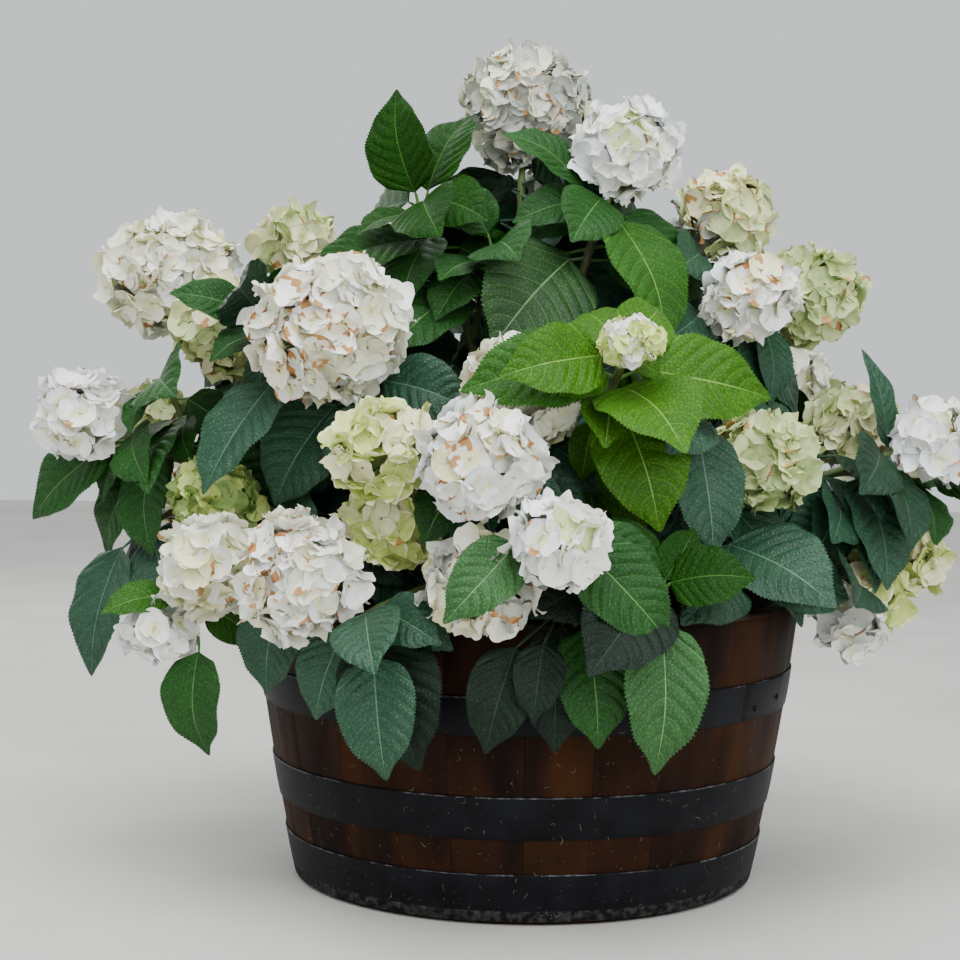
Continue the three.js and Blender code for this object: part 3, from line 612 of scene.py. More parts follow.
def ruled_leaves(shoot, rule):
    """Leaves in opposite pairs, each pair square to the next, smaller and more upright near the tip."""
    dice = Dice(shoot["seed"] + rule["seed"])
    first_turn = 360 * dice()
    first = shoot["head"] + rule["below_head"] if shoot["head"] else rule["below_tip"]
    stem = np.linalg.norm(shoot["curve"].end - shoot["curve"].start)
    for pair in range(rule["pairs"]):
        below = first + pair * rule["internode"]
        if below > rule["stem_share"] * stem:
            break
        for half in (0, 180):
            turn = first_turn + 90 * pair + half + rule["turn_spread"] * (dice() - 0.5)
            droop = rule["droop"] + rule["droop_step"] * pair + rule["droop_spread"] * (dice() - 0.5)
            length = rule["length"] + rule["length_step"] * pair + rule["length_spread"] * dice()
            lower = below + rule["stagger"] * dice()
            yield lower, turn, droop, length, rule["ratio"] + rule["ratio_spread"] * dice()


def stalk_of(leaf):
    """The plain stalk of a leaf, as a limb."""
    curve = Bend(leaf["node"], (leaf["node"] + leaf["base"]) / 2, leaf["base"])
    return dict(curve=curve, start_radius=STALK_RADIUS, end_radius=STALK_RADIUS, sides=3, steps=1)


def inside_crown(leaf):
    x, y, z = blade_point(leaf, 1, 0)
    return math.hypot(x / CROWN_HALF_WIDTH, y / CROWN_HALF_DEPTH) < 1 and CROWN_LOW < z < CROWN_TOP


def grow_leaf(mass, shoot, sizes, room, kind):
    """One leaf: it turns its face to the open side, tries a few turns and is skipped if none is clear."""
    tone = sizes[-1] if isinstance(sizes[-1], str) else shoot.get("tone", "")
    sizes = [size for size in sizes if not isinstance(size, str)]
    below, bearing, droop, length = sizes[:4]
    ratio = sizes[4] if len(sizes) > 4 else LEAF_WIDTH_RATIO
    stalk_length = sizes[5] if len(sizes) > 5 else STALK
    if kind == "finer":
        stalk_length = FINER_STALK
    share = share_below(shoot["curve"], below)
    node = shoot["curve"].point(share)
    shoot_bearing = bearing_of(shoot["curve"].end)
    facing = FACE_TURN * shoot_bearing if abs(shoot_bearing) < FACE_FRONT else shoot_bearing
    for turn, sag, scale in TRIALS:
        axis = direction(bearing + turn, droop + sag)
        stalk_droop = max(droop + sag - STALK_LIFT, STALK_STEEPEST)
        base = node + stalk_length * direction(bearing + turn, stalk_droop)
        up = FACE_UP + max(0, (base[2] - FACE_UP_FROM) / FACE_UP_RISE)
        normal = direction(facing, 0) + np.array([0, 0, up])
        normal = unit(normal - (normal @ axis) * axis)
        leaf = dict(
            node=node, base=base, axis=axis, normal=normal, side=np.cross(axis, normal),
            length=length * scale, width=length * scale * ratio, tone=tone, kind=kind,
        )
        if not inside_crown(leaf):
            continue
        blade, stalk = blade_room(leaf), limb_shape(stalk_of(leaf), 0.5 * CLEARANCE)
        if room.is_clear(blade) and room.is_clear(stalk, ignored=shoot):
            room.add(blade)
            room.add(stalk, shoot)
            mass["leaves"].append(leaf)
            shoot["nodes"].append(share)
            return


def grow_stems(mass, mass_number):
    """Gives a mass its limbs and heads, and returns its cane where it has one."""
    mass.update(limbs=[], heads=[], leaves=[])
    foot = place(mass["root"], mass.get("ring", OUTER_RING), SOIL_LEVEL + 0.5 * STOOL_HEIGHT)
    tips = [np.array(shoot["tip"], float) for shoot in mass["shoots"]]
    cane = None
    main = arching(foot, tips[0])
    if "joint" in mass:
        joint = np.array(mass["joint"], float)
        cane = dict(
            name="cane_" + mass["name"], curve=arching(foot, joint), start_radius=CANE_FOOT_RADIUS,
            end_radius=CANE_TIP_RADIUS, sides=CANE_SIDES, steps=CANE_STEPS,
        )
        tangent = cane["curve"].tangent(1)
        main = following(joint + FIT * tangent, tangent, tips[0])
    for number, (shoot, tip) in enumerate(zip(mass["shoots"], tips)):
        first = number == 0
        curve = main if first else arching(main.point(shoot.get("fork", 0)), tip)
        shoot.setdefault("head", 0)
        shoot.update(curve=curve, seed=100 * mass_number + 10 * number, nodes=[])
        mass["limbs"].append(dict(
            curve=curve, start_radius=CANE_TIP_RADIUS if first else SIDE_SHOOT_RADIUS,
            end_radius=SHOOT_TIP_RADIUS, sides=MAIN_SIDES if first else SHOOT_SIDES,
            steps=CANE_STEPS if first and not cane else SHOOT_STEPS, shoot=shoot,
        ))
        if shoot["head"]:
            mass["heads"].append(dict(
                centre=tip, radius=shoot["head"], seed=shoot["seed"], bloom=shoot["bloom"],
            ))
    return cane


def room_round(masses, canes):
    """The room that canes, limbs, heads and the tub with its compost take up."""
    room = Room()
    for cane in canes:
        room.add(limb_shape(cane, CLEARANCE))
    for mass in masses:
        for limb in mass["limbs"]:
            room.add(limb_shape(limb, CLEARANCE), limb["shoot"])
        for head in mass["heads"]:
            room.add(ball_shape(head["centre"], (head["radius"] + CLEARANCE) * (1 + HEAD_UNEVENNESS)))
    room.add(ring_shape(soil_profile(), SOIL_SIDES))
    room.add(ring_shape(stool_profile(CLEARANCE), STOOL_SIDES))
    seams = stave_seams()
    hoop_room = HOOP_THICKNESS + 2 * FIT + CLEARANCE
    for left, right in zip(seams, seams[1:]):
        room.add(stave_shape(left, right, hoop_room))
    return room


def grow_plant():
    """The whole plant as sizes and places: limbs, heads and leaves mass by mass, and the canes."""
    masses = FRONT_MASSES + [back_mass(number, **sizes) for number, sizes in enumerate(BACK_MASSES)]
    canes = [grow_stems(mass, number) for number, mass in enumerate(masses)]
    canes = [cane for cane in canes if cane]
    room = room_round(masses, canes)
    pairs = [(mass, shoot) for mass in masses for shoot in mass["shoots"]]
    for mass, shoot in pairs:
        for sizes in shoot.get("leaves", []):
            grow_leaf(mass, shoot, sizes, room, "picked")
    for kind, rule in (("ruled", RULE), ("finer", FINER)):
        for mass, shoot in pairs:
            airy = kind == "finer" and shoot["curve"].end[2] >= AIRY_ABOVE
            for sizes in ruled_leaves(shoot, rule):
                if not (airy and sizes[0] >= shoot["head"] + AIRY_BELOW):
                    grow_leaf(mass, shoot, sizes, room, kind)
    return masses, canes


# Looks: from here on the plain plant and tub get their detailed meshes and finishes

# Leaf blade: side veins, the width of a vein as a share of the length, and the steps between two veins
VEINS = 8
FIRST_VEIN = 0.035
LAST_VEIN = 0.86
VEIN_HALF = 0.0024
PANEL_STEPS = 4
FOOT_STEPS = 7
FINER_VEINS = 5
FINER_PANEL_STEPS = 2
FINER_FOOT_STEPS = 3
BLADE_COLUMNS = (0.017, 0.22, 0.44, 0.66, 0.86, 1)
FINER_COLUMNS = (0.03, 0.5, 1)
BLADE_FOOT = 0.012
BLADE_END = 0.975
VEIN_SWEEP = 0.25
VEIN_ARC = 1.35
BLADE_FULLNESS = 0.84
DRIP_FROM = 0.76
DRIP_PINCH = 0.42
QUILT = 0.013
RIPPLE = 0.015
TIP_CURL = 0.07
TIP_LENGTH = 0.03
FEWEST_RIPPLES = 2.2
MORE_RIPPLES = 1.6
BLADE_BOW = 0.06
BLADE_TWIST = 0.3
TOOTH = 0.016
TOOTH_LEAN = 0.85
TOOTH_REACH = 0.4
LEAF_NET = 230
# Painted shade in the creases of a leaf's fine net: the colour is darkened towards the edges of its cells
NET_CREASE_SHADE = (0.01, "#c6c6c6", 0.2, "#ffffff")
FINE_GRAIN = 6
LEAF_SEED = 500

# How lit a leaf's place in the crown is, for painted light and shade in its tone: shares of its distance
# out, its height and chance, and from where on its tone is lighter
LIT_OUTWARD = 0.55
LIT_RAISED = 0.6
LIT_CHANCE = 0.3
MID_FROM = 0.7
FINER_MID_FROM = 0.5
FINER_BRIGHT_FROM = 0.76

# Stalks and limbs: where and how far a stalk sags, how far it runs into its blade, its taper, the leaf
# scars of a cane and the swollen nodes of a shoot
STALK_MIDDLE = 0.55
STALK_SAG = 0.12
STALK_OVERLAP = 0.03
STALK_TAPER = (1.5, 1.05, 0.9, 0.85, 0.8, 0.5)
CANE_SEED = 900
CANE_RIDGES = 12
SCAR_STEP = 62
SCAR_WIDTH = 5
NODE_WIDTH = 6
NODE_SWELL = 0.3
# A share of the stem far beyond its tip, for a shoot that has no node
NO_NODE = 2.0
# A direction that no limb runs in
OFF_AXIS = (0.31, 0.17, 0.93)

# Flower heads: florets of four sepals on stalks that spread from the tip of the shoot
FLORET_AREA = 660
FLORET_RADIUS = 20
FLORET_SPREAD = 0.07
FLORET_LEAN = 0.34
FLORET_DEPTH = 0.86
HEAD_LUMPS = 0.08
HEAD_SQUAT = 0.88
SEPAL_ROWS = (0.07, 0.36, 0.66, 0.89, 1)
SEPAL_COLUMNS = (-1, -0.7, -0.35, 0, 0.35, 0.7, 1)
SEPAL_WIDTH = 0.62
SEPAL_CUP = 0.16
SEPAL_TILT = 0.2
SEPAL_TWIST = 0.14
SEPAL_RUFFLE = 0.055
SEPAL_SCALLOP = 0.06
# Every other sepal lies a little above its neighbours
SEPAL_LAYERS = (0, 0.05, 0, 0.05)
BEAD_RADIUS = 1.5
BEAD_LIFT = 0.1
FLORET_STALK_RADIUS = 0.7
FLORET_STALK_FROM = 0.7
# Size of the dark core ball inside a head, as a share of its radius
CORE_SHARE = 0.6
WORN_PATCH = 2.6
STREAK_REACH = (0.4, 0.75)
CREAMY_SHARE = 0.6
FRONT_AXIS = unit(np.array([0.1, -0.9, 0.45]))
EYE_EDGE = 0.84

# Tones of the leaves: colours of the blade, its darker patches, its veins and its midrib, then the
# strength of the quilting, the roughness and the gloss
Tone = namedtuple("Tone", "blade deep vein rib quilt rough gloss")
# The "deep" and "shade" tones are painted shade: darker greens for leaves that sit in shade inside the crown
# and under other leaves.
LEAF_TONES = {
    "dark": Tone("#30563d", "#274a34", "#3b634a", "#587a62", 2.0, 0.42, 0.26),
    "deep": Tone("#1f4029", "#193622", "#284b33", "#405e46", 1.9, 0.42, 0.24),
    "mid": Tone("#27551f", "#1f4919", "#336428", "#557d43", 1.8, 0.44, 0.16),
    "grass": Tone("#1a4707", "#143b05", "#26540f", "#406e28", 1.5, 0.46, 0.1),
    "warm": Tone("#34661a", "#2a5714", "#427426", "#658d44", 1.6, 0.44, 0.14),
    "bright": Tone("#437312", "#37640d", "#517f1f", "#739a45", 1.5, 0.44, 0.14),
    "fresh": Tone("#396731", "#2f5a2a", "#47743e", "#6f915c", 2.0, 0.42, 0.24),
    "mottled": Tone("#375c2c", "#203e1b", "#436a39", "#658455", 1.8, 0.44, 0.2),
    "shade": Tone("#16281a", "#112015", "#1b2e20", "#2a3f2e", 1.6, 0.5, 0.16),
}

# Tints of a flower head: finish and share of each kind of floret, then the shares with browned or pink
# edges. Some have smaller florets, a rounder or flatter head, an eye or a rim of another tint.
BLOOMS = {
    "white": dict(tints=(("white", 0.7), ("cool", 0.3)), brown=0.05, pink=0),
    "weathered": dict(tints=(("dull", 0.7), ("ivory", 0.3)), brown=0.16, pink=0.02, floret=0.86, flat=0.98),
    "white_brown": dict(tints=(("white", 0.7), ("cool", 0.2), ("cream", 0.1)), brown=0.24, pink=0.03),
    "cream": dict(tints=(("ivory", 0.65), ("white", 0.25), ("cream", 0.1)), brown=0.06, pink=0),
    "cream_brown": dict(tints=(("green_cream", 0.4), ("cream", 0.4), ("dull", 0.2)), brown=0.3, pink=0),
    "green_cream": dict(tints=(("green_cream", 0.5), ("cream", 0.5)), brown=0.08, pink=0.02),
    "fading": dict(tints=(("fading", 0.55), ("green_cream", 0.45)), brown=0.12, pink=0.02),
    "green_eyed": dict(tints=(("white", 0.8), ("cool", 0.2)), eye="green_cream", brown=0.03, pink=0),
    "streaked": dict(tints=(("white", 0.55), ("ivory", 0.45)), brown=0.36, pink=0.14, flat=0.98),
    "aged": dict(tints=(("dull", 0.5), ("ivory", 0.3), ("cream", 0.2)), brown=0.3, pink=0.02),
    "green": dict(tints=(("lime", 0.5), ("green", 0.5)), brown=0.02, pink=0, floret=0.72),
    "lime": dict(tints=(("lime", 0.75), ("cream", 0.25)), rim="cream", brown=0.05, pink=0),
    "young": dict(tints=(("white", 0.45), ("lime", 0.55)), brown=0, pink=0, floret=0.5, flat=0.66),
}
SEPAL_TINTS = {
    "white": ("#f8f9f6", "#eae9da"),
    "cool": ("#f2f5f6", "#e1e6e4"),
    "dull": ("#bcbfb5", "#a2a598"),
    "ivory": ("#f0efdc", "#e2e1c6"),
    "cream": ("#efedc4", "#dcdca6"),
    "green_cream": ("#d8e0a8", "#bccb82"),
    "fading": ("#b9c88c", "#93a862"),
    "lime": ("#d0dc84", "#b2c45e"),
    "green": ("#97b262", "#6d8c42"),
    "browned": ("#a06832", "#7a4c22"),
    "tanned": ("#c4925a", "#ab7a44"),
    "pink": ("#f0c4bb", "#e2a59c"),
    # The core's tint is darkened as painted shade for the gaps between florets; in part it is the green
    # stalks inside.
    "shaded_heart": ("#8a9460", "#5f6a42"),
}


def linear(code):
    """Linear shares of red, green and blue, and full cover, of a colour written as #rrggbb."""
    shares = [int(code[i:i + 2], 16) / 255 for i in (1, 3, 5)]
    return tuple(s / 12.92 if s <= 0.04045 else ((s + 0.055) / 1.055) ** 2.4 for s in shares) + (1,)


def colour_ramp(nodes, low, dark, high, light):
    ramp = nodes.new("ShaderNodeValToRGB")
    for element, position, code in zip(ramp.color_ramp.elements, (low, high), (dark, light)):
        element.position = position
        element.color = linear(code)
    return ramp


def finish(
    name, light, dark, rough, grain, bump, stretch=(1, 1, 1), low=0.35, high=0.65,
    net=0, gloss=0.5, depth=0.0006,
):
    """A finish with patches of two colours: `grain` is the number of patches in a metre."""
    material = bpy.data.materials.new(name)
    material.use_nodes = True
    nodes, links = material.node_tree.nodes, material.node_tree.links
    shader = nodes["Principled BSDF"]
    shader.inputs["Roughness"].default_value = rough
    shader.inputs["Specular IOR Level"].default_value = gloss
    where = nodes.new("ShaderNodeTexCoord")
    mapping = nodes.new("ShaderNodeMapping")
    mapping.inputs["Scale"].default_value = stretch
    links.new(where.outputs["Object"], mapping.inputs["Vector"])
    noise = nodes.new("ShaderNodeTexNoise")
    noise.inputs["Scale"].default_value = grain
    noise.inputs["Detail"].default_value = 5
    links.new(mapping.outputs["Vector"], noise.inputs["Vector"])
    patches = colour_ramp(nodes, low, dark, high, light)
    links.new(noise.outputs["Fac"], patches.inputs["Fac"])
    colour = patches.outputs["Color"]
    relief = nodes.new("ShaderNodeBump")
    relief.inputs["Strength"].default_value = bump
    relief.inputs["Distance"].default_value = depth
    if net:
        fine = nodes.new("ShaderNodeTexVoronoi")
        fine.feature = "DISTANCE_TO_EDGE"
        fine.inputs["Scale"].default_value = net
        links.new(fine.outputs["Distance"], relief.inputs["Height"])
        # The creases of the net are darkened: painted shade
        crease_shade = colour_ramp(nodes, *NET_CREASE_SHADE)
        links.new(fine.outputs["Distance"], crease_shade.inputs["Fac"])
        crease_shaded = nodes.new("ShaderNodeMix")
        crease_shaded.data_type = "RGBA"
        crease_shaded.blend_type = "MULTIPLY"
        crease_shaded.inputs["Factor"].default_value = 1
        links.new(colour, crease_shaded.inputs["A"])
        links.new(crease_shade.outputs["Color"], crease_shaded.inputs["B"])
        colour = crease_shaded.outputs["Result"]
    else:
        fine = nodes.new("ShaderNodeTexNoise")
        fine.inputs["Scale"].default_value = FINE_GRAIN * grain
        links.new(fine.outputs["Fac"], relief.inputs["Height"])
    links.new(colour, shader.inputs["Base Color"])
    links.new(mapping.outputs["Vector"], fine.inputs["Vector"])
    links.new(relief.outputs["Normal"], shader.inputs["Normal"])
    return material


class Batch:
    """Points and faces that are gathered up and made into one mesh, with one finish for each face."""

    def __init__(self):
        self.points, self.loops, self.sizes, self.marks = [], [], [], []
        self.start = self.count = 0

    def add(self, points, faces, marks=0):
        self.points.append(points)
        self.start = self.count
        self.count += len(points)
        self.add_faces(faces, marks)

    def add_faces(self, faces, marks=0):
        """More faces between the points that were added last."""
        faces = np.asarray(faces)
        self.loops.append((faces + self.start).ravel())
        self.sizes.append(np.full(len(faces), faces.shape[1]))
        self.marks.append(np.broadcast_to(marks, len(faces)))

    def add_tube(self, centres, radii, sides, mark=0, ridges=None):
        points, walls, ends = tube_shape(centres, radii, sides, ridges)
        self.add(points, walls, mark)
        self.add_faces(ends, mark)

    def make(self, name, finishes, replaced=()):
        mesh = bpy.data.meshes.new(name)
        points = np.concatenate(self.points) * METRES
        loops, sizes = np.concatenate(self.loops), np.concatenate(self.sizes)
        mesh.vertices.add(len(points))
        mesh.vertices.foreach_set("co", points.astype(np.float32).ravel())
        mesh.loops.add(len(loops))
        mesh.loops.foreach_set("vertex_index", loops.astype(np.int32))
        mesh.polygons.add(len(sizes))
        mesh.polygons.foreach_set("loop_start", (np.cumsum(sizes) - sizes).astype(np.int32))
        mesh.polygons.foreach_set("loop_total", sizes.astype(np.int32))
        for material in finishes:
            mesh.materials.append(material)
        mesh.polygons.foreach_set("material_index", np.concatenate(self.marks).astype(np.int32))
        mesh.polygons.foreach_set("use_smooth", np.full(len(sizes), True))
        mesh.update(calc_edges=True)
        piece = bpy.data.objects.new(name, mesh)
        bpy.context.scene.collection.objects.link(piece)
        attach(piece, "root")
        if replaced:
            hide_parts(*replaced)


def units(vectors):
    """Each row's vector at a length of 1."""
    return vectors / np.linalg.norm(vectors, axis=-1, keepdims=True)


def smooth_step(low, high, value):
    t = np.clip((value - low) / (high - low), 0, 1)
    return t * t * (3 - 2 * t)


class BladePattern:
    """The grid of a leaf blade. Its rows follow the side veins, from the foot to the tip."""

    def __init__(self, veins, panel_steps, foot_steps, columns):
        rows, quilted, is_vein = [BLADE_FOOT], [0.0], []
        spots = np.linspace(FIRST_VEIN, LAST_VEIN, veins)
        low = BLADE_FOOT
        for spot in [*spots, BLADE_END + VEIN_HALF]:
            steps = foot_steps if low == BLADE_FOOT else panel_steps
            for step in range(1, steps + 1):
                rows.append(low + (spot - VEIN_HALF - low) * step / steps)
                quilted.append(math.sin(math.pi * step / steps))
                is_vein.append(False)
            if spot < BLADE_END:
                low = spot + VEIN_HALF
                rows.append(low)
                quilted.append(0.0)
                is_vein.append(True)
        self.is_vein = np.array(is_vein)
        half = np.array(columns)
        across = np.concatenate([-half[::-1], [0], half])
        s = np.array(rows)[:, None]
        t = across[None, :]
        sweep = VEIN_SWEEP * np.minimum(s / FIRST_VEIN, 1) * (1 - s ** 3)
        self.u = s + sweep * abs(t) ** VEIN_ARC
        self.t = np.broadcast_to(t, self.u.shape)
        self.quilt = np.array(quilted)[:, None] * 2.1 * abs(t) * (1 - abs(t) ** 3)
        self.rows, self.columns = self.u.shape
        self.faces = grid_faces(self.rows, self.columns)
        midrib = len(half) - 1
        marks = np.repeat(self.is_vein[:, None], self.columns - 1, 1).astype(int)
        marks[:, midrib:midrib + 2] = 2
        self.marks = marks.ravel()
        last = (self.rows - 1) * self.columns
        tip = self.rows * self.columns
        self.tip_faces = np.array([(last + i, last + i + 1, tip) for i in range(self.columns - 1)])
        self.tip_marks = np.array([2 * (i in (midrib, midrib + 1)) for i in range(self.columns - 1)])
        self.toothed = np.flatnonzero(~self.is_vein)


def blade_shape(pattern, leaf, dice, quilt):
    """Points of a blade with its fold, arch, quilting, rippled edge and drooping tip, then its teeth."""
    u, t, length = pattern.u, pattern.t, leaf["length"]
    pinch = 1 - DRIP_PINCH * smooth_step(DRIP_FROM, 0.95, u)
    half = 0.5 * leaf["width"] * leaf_outline(u) ** BLADE_FULLNESS * pinch
    phase, waves = 2 * math.pi * dice(), FEWEST_RIPPLES + MORE_RIPPLES * dice()
    ripple = RIPPLE * length * abs(t) ** 2 * np.sin(2 * math.pi * waves * u + phase + 1.3 * np.sign(t))
    curl = TIP_CURL * (0.2 + 1.2 * dice()) * length * smooth_step(0.5, 1.3, u) * 2
    bow = BLADE_BOW * (dice() - 0.5) * length
    twist = BLADE_TWIST * (dice() - 0.5)
    lift = LEAF_ARCH * length * 4 * u * (1 - u) + LEAF_FOLD * abs(t) * half
    lift = lift + QUILT * quilt * length * pattern.quilt * np.minimum(half / (0.2 * leaf["width"]), 1)
    lift = lift + ripple * smooth_step(0.05, 0.3, u) * smooth_step(1.02, 0.85, u)
    lift = lift - curl + twist * u * t * half
    sideways = t * half + bow * np.sin(math.pi * u)
    grid = (
        leaf["base"] + length * u[..., None] * leaf["axis"]
        + lift[..., None] * leaf["normal"] + sideways[..., None] * leaf["side"]
    )
    end_curl = TIP_CURL * length * smooth_step(0.5, 1.3, 1.0)
    tip = grid[-1, pattern.columns // 2] + TIP_LENGTH * length * leaf["axis"]
    tip = tip - 0.2 * end_curl * leaf["normal"]
    points = [grid.reshape(-1, 3), tip[None]]
    teeth = []
    for edge, sign in ((0, -1), (pattern.columns - 1, 1)):
        low = grid[pattern.toothed, edge]
        high = grid[pattern.toothed + 1, edge]
        size = TOOTH * length * np.clip(np.linalg.norm(high - low, axis=1) / (0.03 * length), 0.3, 1)
        apex = low + TOOTH_LEAN * (high - low) + sign * size[:, None] * leaf["side"]
        apex = apex + TOOTH_REACH * size[:, None] * leaf["axis"]
        start = sum(len(part) for part in points)
        points.append(apex)
        corner = pattern.toothed * pattern.columns + edge
        rows = np.stack([corner, corner + pattern.columns, start + np.arange(len(apex))], 1)
        teeth.append(rows if sign < 0 else rows[:, ::-1])
    return np.concatenate(points), np.concatenate(teeth)


def tube_shape(centres, radii, sides, ridges=None):
    """A tube through given points: its points, its walls and its closed ends."""
    centres = np.asarray(centres, float)
    runs = units(np.gradient(centres, axis=0))
    side = units(np.cross(runs, np.cross(centres[-1] - centres[0], OFF_AXIS)))
    across = np.cross(runs, side)
    angles = 2 * math.pi * np.arange(sides) / sides
    spread = np.asarray(radii)[:, None] * np.ones(sides)
    if ridges is not None:
        spread = spread * ridges
    ring = (
        centres[:, None] + (spread * np.cos(angles))[..., None] * side[:, None]
        + (spread * np.sin(angles))[..., None] * across[:, None]
    )
    count = len(centres) * sides
    points = np.concatenate([ring.reshape(-1, 3), centres[:1], centres[-1:]])
    ends = np.concatenate([
        fan_faces(0, sides, count, turned=True), fan_faces(count - sides, sides, count + 1),
    ])
    return points, grid_faces(len(centres), sides, closed=True), ends


def leaf_finishes():
    """Blade, vein and midrib finish of each tone, in the order of the marks."""
    made = []
    for name, tone in LEAF_TONES.items():
        made.append(finish(
            "leaf_" + name, tone.blade, tone.deep, tone.rough, 22, 1, low=0.3, high=0.7, net=LEAF_NET,
            gloss=tone.gloss, depth=0.0012,
        ))
        for part, colour in (("vein_", tone.vein), ("rib_", tone.rib)):
            made.append(finish(
                part + name, colour, tone.blade, 0.5, 90, 0.1, low=0.2, high=0.5, gloss=tone.gloss,
            ))
    return made


def tone_of(leaf, dice):
    """A leaf without a tone of its own is darker the deeper it sits in the crown and lighter where its place
    is lit: painted shade and light.
    """
    chance = dice()
    if leaf["tone"]:
        return leaf["tone"]
    spot = leaf["base"] + 0.5 * leaf["length"] * leaf["axis"]
    outward = math.hypot(spot[0] / CROWN_HALF_WIDTH, spot[1] / CROWN_HALF_DEPTH)
    raised = (spot[2] - SOIL_LEVEL) / (CROWN_TOP - SOIL_LEVEL)
    lit = LIT_OUTWARD * outward + LIT_RAISED * raised + LIT_CHANCE * (chance - 0.5)
    if leaf["kind"] == "finer":
        if lit > FINER_BRIGHT_FROM and chance > 0.6:
            return "bright"
        return "mid" if lit > FINER_MID_FROM else "dark"
    if lit > MID_FROM:
        return "mid"
    return "dark" if chance > 0.3 else "deep"


def dress_leaves(masses, materials):
    """The leaves of each mass as one piece: veined and toothed blades on sagging stalks."""
    large = BladePattern(VEINS, PANEL_STEPS, FOOT_STEPS, BLADE_COLUMNS)
    small = BladePattern(FINER_VEINS, FINER_PANEL_STEPS, FINER_FOOT_STEPS, FINER_COLUMNS)
    for number, mass in enumerate(masses):
        batch = Batch()
        dice = Dice(LEAF_SEED + number)
        for leaf in mass["leaves"]:
            tone = tone_of(leaf, dice)
            mark = 3 * list(LEAF_TONES).index(tone)
            finer = leaf["kind"] == "finer"
            pattern = small if finer else large
            points, teeth = blade_shape(pattern, leaf, dice, LEAF_TONES[tone].quilt)
            batch.add(points, pattern.faces, mark + pattern.marks)
            batch.add_faces(pattern.tip_faces, mark + pattern.tip_marks)
            batch.add_faces(teeth, mark)
            node, run = leaf["node"], leaf["base"] - leaf["node"]
            middle = node + STALK_MIDDLE * run - STALK_SAG * np.linalg.norm(run) * leaf["normal"]
            stalk = Bend(node, middle, leaf["base"] + STALK_OVERLAP * leaf["length"] * leaf["axis"])
            centres = [stalk.point(share) for share in np.linspace(0, 1, len(STALK_TAPER))]
            thick = STALK_RADIUS * (0.5 if finer else 0.85)
            batch.add_tube(centres, thick * np.array(STALK_TAPER), 6, mark + 2)
        batch.make("leaves_" + mass["name"], materials, ["foliage_" + mass["name"]])


def along_limb(limb, fewest, pitch):
    """Length of a limb, and the shares, places and radii of the rings along it."""
    curve = limb["curve"]
    length = np.linalg.norm(curve.end - curve.start)
    shares = np.linspace(0, 1, max(fewest, int(length / pitch)))
    centres = np.array([curve.point(share) for share in shares])
    radii = limb["start_radius"] + (limb["end_radius"] - limb["start_radius"]) * shares
    return length, shares, centres, radii


def dress_limbs(masses, canes, green, woody):
    """Shoots with swollen nodes, and ridged canes with leaf scars."""
    for mass in masses:
        batch = Batch()
        for limb in mass["limbs"]:
            nodes = np.array(limb["shoot"]["nodes"] + [NO_NODE])
            length, shares, centres, radii = along_limb(limb, 8, 8)
            apart = abs(shares[:, None] - nodes[None, :]).min(1) * length
            batch.add_tube(centres, radii * (0.92 + NODE_SWELL * np.exp(-(apart / NODE_WIDTH) ** 2)), 8)
        batch.make("shoots_" + mass["name"], [green], ["foliage_" + mass["name"]])
    turns = np.arange(CANE_RIDGES)
    for number, cane in enumerate(canes):
        dice = Dice(CANE_SEED + number)
        length, shares, centres, radii = along_limb(cane, 10, 7)
        scars = np.exp(-(((shares * length + 60 * dice()) % SCAR_STEP - SCAR_STEP / 2) / SCAR_WIDTH) ** 2)
        ridges = 0.93 + 0.06 * np.sin(2.3 * turns + 0.02 * length * shares[:, None] + 6 * dice())
        ridges = ridges + 0.16 * scars[:, None] * (0.6 + 0.4 * np.sin(turns + 3 * dice()))
        batch = Batch()
        batch.add_tube(centres, radii, CANE_RIDGES, 0, ridges)
        batch.make(cane["name"] + "_bark", [woody], [cane["name"]])


def even_directions(count):
    """Directions spread evenly over a ball."""
    step = np.arange(count) + 0.5
    height = 1 - 2 * step / count
    level = np.sqrt(1 - height ** 2)
    turn = math.pi * (1 + math.sqrt(5)) * step
    return np.stack([level * np.cos(turn), level * np.sin(turn), height], 1)


def floret_places(head, bloom, squat, random):
    """Where the florets of a lumpy head sit, which way they face, and two directions across each."""
    radius = head["radius"]
    count = int(4 * math.pi * radius ** 2 / (FLORET_AREA * bloom.get("floret", 1) ** 2))
    outward = even_directions(count) + FLORET_SPREAD * random.normal(size=(count, 3)) * min(1, 60 / radius)
    outward = units(outward)
    lumps = units(random.normal(size=(5, 3)))
    swell = 1 + HEAD_LUMPS * np.sin(3.2 * outward @ lumps.T + random.uniform(0, 6, 5)).sum(1) / 2
    depth = FLORET_DEPTH * swell * random.uniform(0.92, 1.03, count)
    centre = head["centre"] + (radius * depth)[:, None] * outward * squat
    facing = units(outward + FLORET_LEAN * random.normal(size=(count, 3)))
    first = units(np.cross(facing, random.normal(size=(count, 3))))
    return centre, outward, facing, first, np.cross(facing, first), lumps[0]


